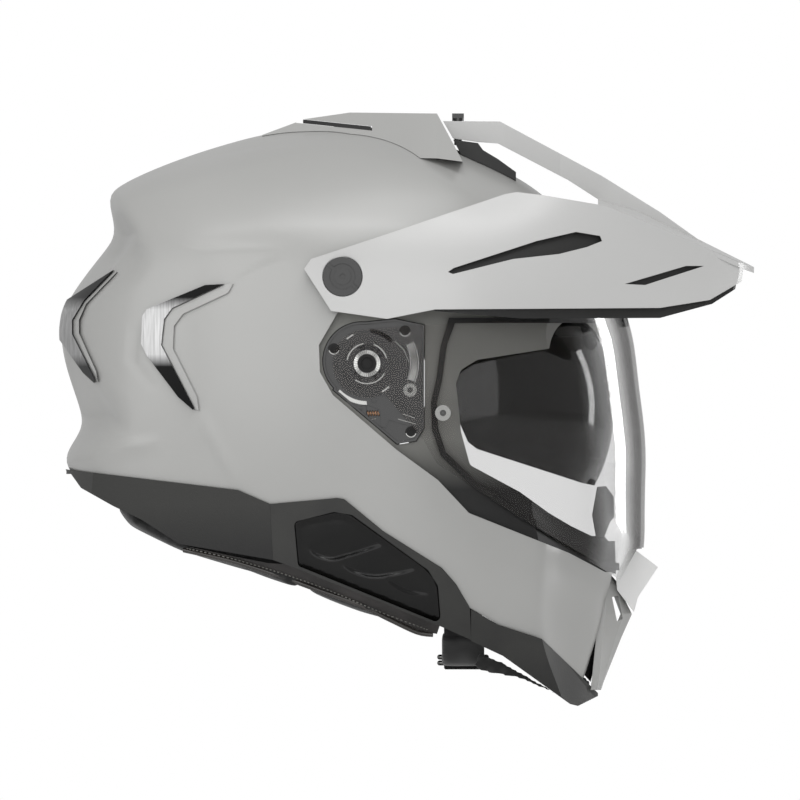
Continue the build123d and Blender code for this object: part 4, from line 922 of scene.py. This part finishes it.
# %% The outlines of the cover and its leaves
COVER = [(295, 523), (303, 519.5), (334, 513), (343, 513), (352, 516.5), (424, 568), (433, 578),
         (437, 588), (440, 623.5), (299, 565.5)]
COVER_RIM = [(297, 566), (295.5, 524), (303, 519.5), (334, 513.5), (343, 513.5), (352, 517),
             (424, 568.5), (433, 578), (437, 588), (440, 622)]
LEAVES = [([(306, 549), (313, 556), (324, 560.5), (334, 561.5), (348, 558), (366, 552.5),
            (386, 545.5)], 2.4),
          ([(340, 566), (350, 572.5), (364, 577.5), (377, 579), (392, 577), (405, 574.5),
            (418, 571)], 2.4),
          ([(384, 581), (395, 588.5), (406, 594), (418, 596.5), (430, 597)], 1.5)]
COVER_STAND = 0.5
RIM_BEVEL_PX = 6.0
RIM_DROP = 1.3
LIP_PX = 5.0
DISH_PX = 24.0
print("leaves of a cover:", len(LEAVES))

# %% The relief of the cover


def cover_relief(px, py):
    """The cover's face lies a little lower than its bevelled rim, with a dish at each leaf."""
    rim_away, _, _ = nearest_on(COVER_RIM, px, py)
    rise = COVER_STAND - RIM_DROP * np.clip(rim_away / RIM_BEVEL_PX, 0, 1)
    for line, depth in LEAVES:
        away, side, share = nearest_on(eased_line(line, 3.0), px, py)
        bank = np.clip(away / LIP_PX, 0, 1)
        dish = bank * bank * (3 - 2 * bank) * np.clip(1 - (away - LIP_PX) / DISH_PX, 0, 1) ** 1.5
        rise = rise - depth * dish * (side < 0) * taper(share, 0.35)
    return rise


cover_right = relief_plate("side_cover_shaped_right", COVER, cover_relief, 2.4)
cover_left = mirrored(cover_right, "side_cover_shaped_left")
finish_plate(cover_right, satin_abs, ["side_cover_right"])
finish_plate(cover_left, satin_abs, ["side_cover_left"])
print("faces of a side cover:", len(cover_right.data.polygons))

# %% [markdown]
# Behind each cover lies a seal, a little larger than the cover and some millimetres deeper. It
# closes the seam, which would otherwise let light through from inside the shell.

# %% The inner seals that close the seams round the covers
SEAL_DROP = -5.0
SEAL_GROWTH = 1.05
cover_middle = [sum(p[i] for p in COVER) / len(COVER) for i in (0, 1)]
SEAL = [tuple(cover_middle[i] + SEAL_GROWTH * (p[i] - cover_middle[i]) for i in (0, 1))
        for p in COVER]
seal_right = relief_plate("cover_seal_right", SEAL, lambda px, py: px * 0 + SEAL_DROP, 1.5, 3.0)
seal_left = mirrored(seal_right, "cover_seal_left")
finish_plate(seal_right, deep_abs, [])
finish_plate(seal_left, deep_abs, [])
print("faces of a seal:", len(seal_right.data.polygons))

# %% [markdown]
# ## Beads, bands and tape
# Piping, seams and the lines of the mechanism are beads laid along a line. The rings and arcs of
# the pivot are flat bands, some of them ribbed. The chin strap is tape: a flat band that follows
# its path and keeps its width.

# %% Round beads along a line


def bead(name, pixels, depths, radius_mm, sides=10):
    """A round bead of the right side along a line, at its own depth at each pixel."""
    points = [Vector((at(*pixel)[0], -depth, at(*pixel)[1]))
              for pixel, depth in zip(pixels, depths)]
    vertices = []
    for k, point in enumerate(points):
        run = (points[min(k + 1, len(points) - 1)] - points[max(k - 1, 0)]).normalized()
        across = run.cross(Vector((0, 1, 0))).normalized()
        outwards = run.cross(across)
        for side in range(sides):
            turn = 2 * math.pi * side / sides
            vertices.append(point + radius_mm * MM * (math.cos(turn) * across
                                                      + math.sin(turn) * outwards))
    faces = [[k * sides + i, k * sides + (i + 1) % sides, (k + 1) * sides + (i + 1) % sides,
              (k + 1) * sides + i] for k in range(len(points) - 1) for i in range(sides)]
    faces += [list(range(sides)), [(len(points) - 1) * sides + i for i in range(sides)]]
    return closed_mesh(name, vertices, faces)


print("a bead has 10 sides unless it says otherwise")

# %% Flat bands, plain or ribbed


def flat_band(name, centre, inner, outer, start, sweep, base, top, ribs=0, rib_mm=0.4):
    """A flat arc of the right side between two radii in pixels, from one depth to another."""
    steps = max(12, abs(sweep) // 5, 2 * ribs)
    count = steps if sweep >= 360 else steps + 1
    vertices = []
    for k in range(count):
        turn = math.radians(start + sweep * k / steps)
        face = top + (rib_mm * MM if ribs and k % 2 else 0.0)
        for radius, depth in ((inner, base), (inner, face), (outer, face), (outer, base)):
            x, z = at(centre[0] + radius * math.cos(turn), centre[1] + radius * math.sin(turn))
            vertices.append((x, -depth, z))
    faces = [[4 * k + i, 4 * k + (i + 1) % 4, 4 * ((k + 1) % count) + (i + 1) % 4,
              4 * ((k + 1) % count) + i] for k in range(steps) for i in range(4)]
    if sweep < 360:
        faces += [[0, 1, 2, 3], [4 * (count - 1) + i for i in range(4)]]
    return closed_mesh(name, vertices, faces)


print("a flat band is drawn in steps of about 5 degrees")

# %% Tape, and pieces made one
TAPE_EDGE_IN, TAPE_EDGE_UP = 0.4, 0.8


def tape(name, path, width_mm, wall_mm, middle_x, closed=False):
    """Flat tape along a path of y and z, with its width along the helmet."""
    half, wall = width_mm * MM / 2, wall_mm * MM / 2
    shoulder, rise = half - wall * TAPE_EDGE_IN, wall * TAPE_EDGE_UP
    section = [(-half, 0), (-shoulder, rise), (-half + wall, wall), (half - wall, wall),
               (shoulder, rise), (half, 0), (shoulder, -rise),
               (half - wall, -wall), (-half + wall, -wall), (-shoulder, -rise)]
    count, sides = len(path), len(section)
    vertices = []
    for k, (y, z) in enumerate(path):
        after = path[(k + 1) % count] if closed else path[min(k + 1, count - 1)]
        before = path[k - 1] if closed or k else path[0]
        run = Vector((after[0] - before[0], after[1] - before[1])).normalized()
        for along, off in section:
            vertices.append((middle_x + along, y - run.y * off, z + run.x * off))
    rows = count if closed else count - 1
    faces = [[k * sides + i, k * sides + (i + 1) % sides,
              (k + 1) % count * sides + (i + 1) % sides, (k + 1) % count * sides + i]
             for k in range(rows) for i in range(sides)]
    if not closed:
        faces += [list(range(sides)), [(count - 1) * sides + i for i in range(sides)]]
    return closed_mesh(name, vertices, faces)


def joined(pieces, name):
    """Several new pieces as one."""
    bpy.ops.object.select_all(action="DESELECT")
    for piece in pieces:
        piece.select_set(True)
    bpy.context.view_layer.objects.active = pieces[0]
    bpy.ops.object.join()
    pieces[0].name = pieces[0].data.name = name
    return pieces[0]


def both_sides(piece, material, bodies=("helmet", "helmet"), angle=40):
    """Finish a right-hand piece, and the same for the left side, on the bodies they ride."""
    twin = mirrored(piece, piece.name + "_left")
    piece.name = piece.data.name = piece.name + "_right"
    finish_plate(piece, material, [], bodies[0], angle)
    finish_plate(twin, material, [], bodies[1], angle)


print("what is made for the right side is mirrored to the left")

# %% [markdown]
# ## The shield's pivot
# Through the clear ear of the shield we look into its mechanism: a hub with a ribbed crown, a gear
# disc that turns with the shield, and a plate with a scale, ribbed bars and screws. Their edges
# catch the light as thin bright arcs, which are laid on in polished steel as painted highlights.
# Each is a flat band on the face of the piece that carries it, and rides on the same body, so it
# turns where that piece turns.

# %% Faces of the mechanism, and bands that lie on them
PLATE_FACE, GEAR_FACE, HUB_FACE = 111.5 * MM, 115.2 * MM, 124.1 * MM
HEAD_FACE = PLATE_FACE + 1.8 * MM
LEVER_FACE = 114.2 * MM
BAND_FOOT = 0.2 * MM
SHIELD_SIDES = ("shield", "shield")
LEVER_SIDES = ("lever_right", "lever_left")


def band_on(face, inner, outer, start, sweep, height_mm, **ribs):
    """A flat band round the pivot that stands on a face."""
    return flat_band("band", PIVOT_PIXEL, inner, outer, start, sweep, face - BAND_FOOT,
                     face + height_mm * MM, **ribs)


print("a hub ends", round(HUB_FACE / MM, 1), "mm from the middle")

# %% The gear's arcs, the ribbed crown and the plate's arcs
# Painted highlights: bright steel arcs laid on the edges of the gear.
gear_arcs = [band_on(GEAR_FACE, 19.4, 20.8, start, sweep, 0.4)
             for start, sweep in ((-170, 70), (-70, 55), (30, 95))]
both_sides(joined(gear_arcs, "gear_bright_arcs"), steel_and_painted_glints, SHIELD_SIDES)
rings = [flat_band("pivot_crown", PIVOT_PIXEL, 9.6, 13.4, 0, 360, HUB_FACE - 0.8 * MM,
                   HUB_FACE + 0.1 * MM, ribs=28)]
rings += [band_on(PLATE_FACE, 37.5, 41.5, 88, 48, 1.0),
          band_on(PLATE_FACE, 31.0, 32.6, -130, 15, 1.2),
          band_on(PLATE_FACE, 31.0, 32.8, 46, 16, 1.2)]
both_sides(joined(rings, "pivot_bright_rings"), steel_and_painted_glints)
print("arcs on the gear:", len(gear_arcs), "rings on the hub and the plate:", len(rings))

# %% The ribbed bars, the speckled scale and its bright rims
bars = [band_on(PLATE_FACE, 31.0, 35.0, -84, 42, 1.2, ribs=12, rib_mm=0.7),
        band_on(PLATE_FACE, 43.5, 46.0, 92, 40, 1.6)]
both_sides(joined(bars, "pivot_ribbed_bars"), gloss_abs)
scale = band_on(PLATE_FACE, 44.4, 50.4, -25, 46, 0.5)
scale.name = scale.data.name = "pivot_scale"
both_sides(scale, speckled_pom)
# Painted highlights: bright arcs round the scale and on the rims of the black screw heads.
rims = [band_on(PLATE_FACE, inner, inner + 0.8, -26, 48, 0.8) for inner in (43.2, 51.0)]
rims += [flat_band("rim", centre, 4.6, 5.6, 15, 150, HEAD_FACE - 0.3 * MM, HEAD_FACE + 0.1 * MM)
         for centre in ((405, 331), (334, 349), (411, 432))]
both_sides(joined(rims, "pivot_bright_rims"), steel_and_painted_glints)
print("bars:", len(bars), "rims:", len(rims))

# %% [markdown]
# The pins and the guide screw have a hex socket. Seen from the side, it is a small dark ring in a
# bright head. Thin bright lines, laid on as painted highlights, mark the edges of the plate and of
# the release lever.

# %% The dark sockets and the bright lines
SOCKET_HOLE, SOCKET_FOOT, SOCKET_RISE = 0.4, 0.3 * MM, 0.05 * MM
PIN_FACE = depth_at(448, 413, [tree_of("pinlock_pins")])
GUIDE_FACE = depth_at(414.5, 390, [tree_of("guide_screws")])
for name, centre, outer, face, bodies in (
        ("pin_socket_shadow", (443, 413), 3.2, PIN_FACE, SHIELD_SIDES),
        ("guide_socket_shadow", (410, 390), 2.6, GUIDE_FACE, ("helmet", "helmet"))):
    socket = flat_band(name, centre, SOCKET_HOLE, outer, 0, 360, face - SOCKET_FOOT,
                       face + SOCKET_RISE)
    both_sides(socket, gloss_abs, bodies)
for name, face, paths, bodies in (
        ("plate_bright_lines", PLATE_FACE + 0.3 * MM,
         ([(368, 420), (376, 418.7)], [(395, 341), (404, 350), (409, 362)]),
         ("helmet", "helmet")),
        ("lever_bright_lines", LEVER_FACE,
         ([(403, 414), (415, 418)], [(398, 419), (416, 424)]), LEVER_SIDES)):
    lines = [bead("line", path, [face] * len(path), 0.4, 8) for path in paths]
    both_sides(joined(lines, name), steel_and_painted_glints, bodies)
print("a pin ends", round(PIN_FACE / MM, 1), "mm from the middle")

# %% [markdown]
# ## The cheek band
# Between the side cover and the neck, a band of embossed vinyl holds the lining. It ends in glossy
# piping and is sewn with one row of waxed thread. The band is stiff, so it is a relief plate. The
# piping is a bead, and each stitch is a short bead of its own.

# %% The band under the side cover, its piping and its stitches
CHEEK_BAND = [(186, 546), (232, 556), (268, 563), (299, 565), (441, 622), (437, 634), (417, 630),
              (390, 617), (359, 602), (320, 588), (281, 574), (232, 559)]
PIPING = [(184, 550), (232, 561), (281, 576.5), (320, 590.5), (359, 604.5), (390, 619.5),
          (417, 632), (433, 634.5)]
STITCHES = [(186, 548), (232, 558.5), (281, 573), (326, 589), (378, 611), (429, 630)]
BAND_INSET = -2.2
BAND_ROUNDING, BAND_ROUNDING_PX = 2.0, 10
PIPING_DROP, STITCH_DROP = 1.5, 0.4
STITCH_STEP, STITCH_LENGTH = 4, 2


def band_relief(px, py):
    """The band lies inside the trims, and rounds away towards its lower edge."""
    away, _, _ = nearest_on(PIPING, px, py)
    return BAND_INSET - BAND_ROUNDING * np.clip(1 - away / BAND_ROUNDING_PX, 0, 1) ** 2


def depths_on_body(pixels, lift_mm):
    """How far out the body's surface is at some pixels, lifted a little."""
    return [depth_at(*pixel, [body_tree]) + lift_mm * MM for pixel in pixels]


band = relief_plate("cheek_band", CHEEK_BAND, band_relief, 3.0, 1.2)
both_sides(band, embossed_vinyl)
piping_line = eased_line(PIPING, 4.0)
piping_depths = depths_on_body(piping_line, BAND_INSET - PIPING_DROP)
piping = bead("cheek_piping", piping_line, piping_depths, 1.5, 12)
both_sides(piping, glossy_piping)
stitch_line = eased_line(STITCHES, 1.0)
stitches = []
for k in range(2, len(stitch_line) - 3, STITCH_STEP):
    pair = [stitch_line[k], stitch_line[k + STITCH_LENGTH]]
    stitches.append(bead("stitch", pair, depths_on_body(pair, BAND_INSET - STITCH_DROP), 0.45, 6))
both_sides(joined(stitches, "cheek_stitches"), thread)
print("stitches on each side:", len(stitches))

# %% [markdown]
# ## The chin strap
# The strap is polyester tape, 22 mm wide and 2 mm thick. From its anchor in the shell it hangs
# down, turns under the chin and goes round the bar of its ring. A cloth simulation would only make
# it hang the way this path already does, so the tape follows the path.

# %% The path of the strap
STRAP_X = at(463, 0)[0]
STRAP_WIDTH_MM, STRAP_WALL_MM = 22.0, 2.0
STRAP_SIDE, STRAP_BEND, RING_BAR = 80 * MM, 26 * MM, 8 * MM
STRAP_TOP, STRAP_LOW = at(0, 596)[1], at(0, 660)[1]
corner = [(-STRAP_SIDE, STRAP_TOP), (-STRAP_SIDE, STRAP_LOW + STRAP_BEND),
          (-STRAP_SIDE + STRAP_BEND, STRAP_LOW), (-RING_BAR, STRAP_LOW)]


def rounded_path(points, radius, steps=8):
    """A bent line whose corners are turned by short curves."""
    path = [points[0]]
    for a, b, c in zip(points, points[1:], points[2:]):
        a, b, c = Vector(a), Vector(b), Vector(c)
        cut_back = radius * math.tan(((b - a).angle(c - b)) / 2)
        first, last = b - (b - a).normalized() * cut_back, b + (c - b).normalized() * cut_back
        for k in range(steps + 1):
            t = k / steps
            path.append(tuple((1 - t) ** 2 * first + 2 * t * (1 - t) * b + t ** 2 * last))
    return path + [points[-1]]


strap_path = rounded_path(corner, STRAP_BEND / 2)
strap_length = sum(math.dist(a, b) for a, b in zip(strap_path, strap_path[1:]))
print("each half of the strap is", round(strap_length / MM, 1), "mm long")

# %% The tape from each anchor, turned back round its ring
LOOP_HALF, LOOP_RADIUS = 1.7 * MM, 2.8 * MM
loop = [(-RING_BAR + LOOP_RADIUS * math.cos(turn),
         STRAP_LOW + LOOP_RADIUS * math.sin(turn) + math.copysign(LOOP_HALF, math.sin(turn)))
        for turn in (math.radians(7.5 + 15 * k) for k in range(24))]
strap_half = joined([tape("strap", strap_path, STRAP_WIDTH_MM, STRAP_WALL_MM, STRAP_X),
                     tape("strap_loop", loop, STRAP_WIDTH_MM, STRAP_WALL_MM, STRAP_X,
                          closed=True)], "strap_tape")
strap_twin = mirrored(strap_half, "strap_tape_left")
strap_both = joined([strap_half, strap_twin], "strap_tape_pair")
finish_plate(strap_both, strap_tape, ["strap_webbing"])
print("faces of the strap:", len(strap_both.data.polygons))

# %% [markdown]
# ## The studio
# The photograph was taken on pure white. A pale floor keeps the helmet's shadow. The world is white
# for the camera and through clear parts, and a softer grey lights the object, a little brighter
# where it is mirrored. Five lamps do the rest: a box and a narrow strip above, a box behind the
# helmet, a large one behind the camera, and a tall strip in front, which draws the white line in
# the shield.

# %% The floor
FLOOR_GAP = 1 * MM
floor_z = cad_box[0][2] - FLOOR_GAP
bpy.ops.object.select_all(action="DESELECT")
bpy.ops.mesh.primitive_plane_add(size=8.0, location=(0, 0, floor_z))
floor = bpy.context.object
floor.name = "studio_floor"
floor_paint, floor_shader = new_material("studio_floor_paint")
set_inputs(floor_paint, floor_shader, Base_Color=colour("F4F4F4"), Roughness=0.9)
floor.data.materials.append(floor_paint)
print("the floor lies at", round(floor_z, 4))

# %% The world
SOFT_LIGHT = 0.39
MIRROR_EXTRA = 0.15
world = bpy.data.worlds.new("studio_world")
bpy.context.scene.world = world
world.use_nodes = True
rays = add(world, "ShaderNodeLightPath")
seen = add(world, "ShaderNodeMath", {0: rays.outputs["Is Camera Ray"],
                                     1: rays.outputs["Is Transmission Ray"]}, operation="MAXIMUM")
level = add(world, "ShaderNodeMapRange", {"Value": seen.outputs["Value"],
                                          "To Min": SOFT_LIGHT, "To Max": 1.0})
mirrored_light = add(world, "ShaderNodeMapRange", {"Value": rays.outputs["Is Glossy Ray"],
                                                   "To Min": 0.0, "To Max": MIRROR_EXTRA})
strength = add(world, "ShaderNodeMath", {0: level.outputs["Result"],
                                         1: mirrored_light.outputs["Result"]}, operation="ADD")
backdrop = world.node_tree.nodes["Background"]
backdrop.inputs["Color"].default_value = (1, 1, 1, 1)
world.node_tree.links.new(strength.outputs["Value"], backdrop.inputs["Strength"])
print("soft light:", SOFT_LIGHT, "and in mirrors:", round(SOFT_LIGHT + MIRROR_EXTRA, 2))

# %% The lamps
# Each lamp: its name, its place, its width and height in metres, and its power in watts.
LAMPS = [
    ("softbox_above", (0.3, -0.7, 1.6), (1.4, 0.9), 8),
    ("softbox_strip", (0.0, -0.75, 1.5), (2.4, 0.12), 4),
    ("softbox_rear", (-2.2, -1.2, 0.5), (1.2, 1.6), 9),
    ("softbox_camera", (-0.4, -2.6, 0.6), (3.4, 2.6), 34),
    ("softbox_front", (1.6, 0.80, 0.1), (0.26, 2.2), 12),
]


def softbox(name, place, size, watts):
    """A large rectangular lamp at a place, turned towards the helmet's middle."""
    bpy.ops.object.select_all(action="DESELECT")
    bpy.ops.object.light_add(type="AREA", location=place)
    lamp = bpy.context.object
    lamp.name = name
    lamp.data.shape = "RECTANGLE"
    lamp.data.size, lamp.data.size_y = size
    lamp.data.energy = watts
    lamp.rotation_mode = "QUATERNION"
    lamp.rotation_quaternion = (-Vector(place)).to_track_quat("-Z", "Y")


for lamp_values in LAMPS:
    softbox(*lamp_values)
bpy.context.scene.view_settings.view_transform = "Standard"
print("lamps:", ", ".join(lamp_values[0] for lamp_values in LAMPS))

# %% [markdown]
# ## Which finish goes where
# Hard pieces whose engineering shape is already right keep it, and only get their finish. The list
# goes by finish, as a paint shop's would, so that pieces of one batch look alike.

# %% Finishes of the pieces that stay as they are
finishes = {
    shell_lacquer: ["roof_vent_cover", "chin_panel", "side_fin_frames", "back_fin_frames"],
    peak_lacquer: ["peak"],
    beak_lacquer_painted_highlight: ["chin_beak"],
    matte_abs: ["front_trim", "side_cover_frame_left", "side_cover_frame_right"],
    trim_abs: ["rear_trim"],
    deep_abs: ["peak_liner", "crown_vent", "breath_guard", "chin_vent_shutter"],
    port_abs: ["eyeport_trim"],
    sealing_rubber: ["eyeport_gasket"],
    gloss_abs: ["roof_vent_slider", "peak_collars", "peak_side_screws", "peak_top_screw",
                "pivot_plate_left", "pivot_plate_right", "pivot_gear_left", "pivot_gear_right",
                "release_lever_left", "release_lever_right", "visor_slider", "strap_snap"],
    bead_foam: ["impact_liner", "chin_liner"],
    shield_sheet: ["face_shield"],
    visor_sheet: ["sun_visor"],
    turned_steel: ["pinlock_pins", "guide_screws", "visor_pins", "strap_anchors", "strap_rings"],
    black_steel: ["plate_screws", "pivot_hubs"],
    spring_wire: ["lever_spring_left", "lever_spring_right"],
    fin_aluminium: ["side_fins", "back_fins"],
}
for material, names in finishes.items():
    for name in names:
        nodes[name].data.materials.clear()
        nodes[name].data.materials.append(material)
print("nodes with a finish:", sum(len(names) for names in finishes.values()))
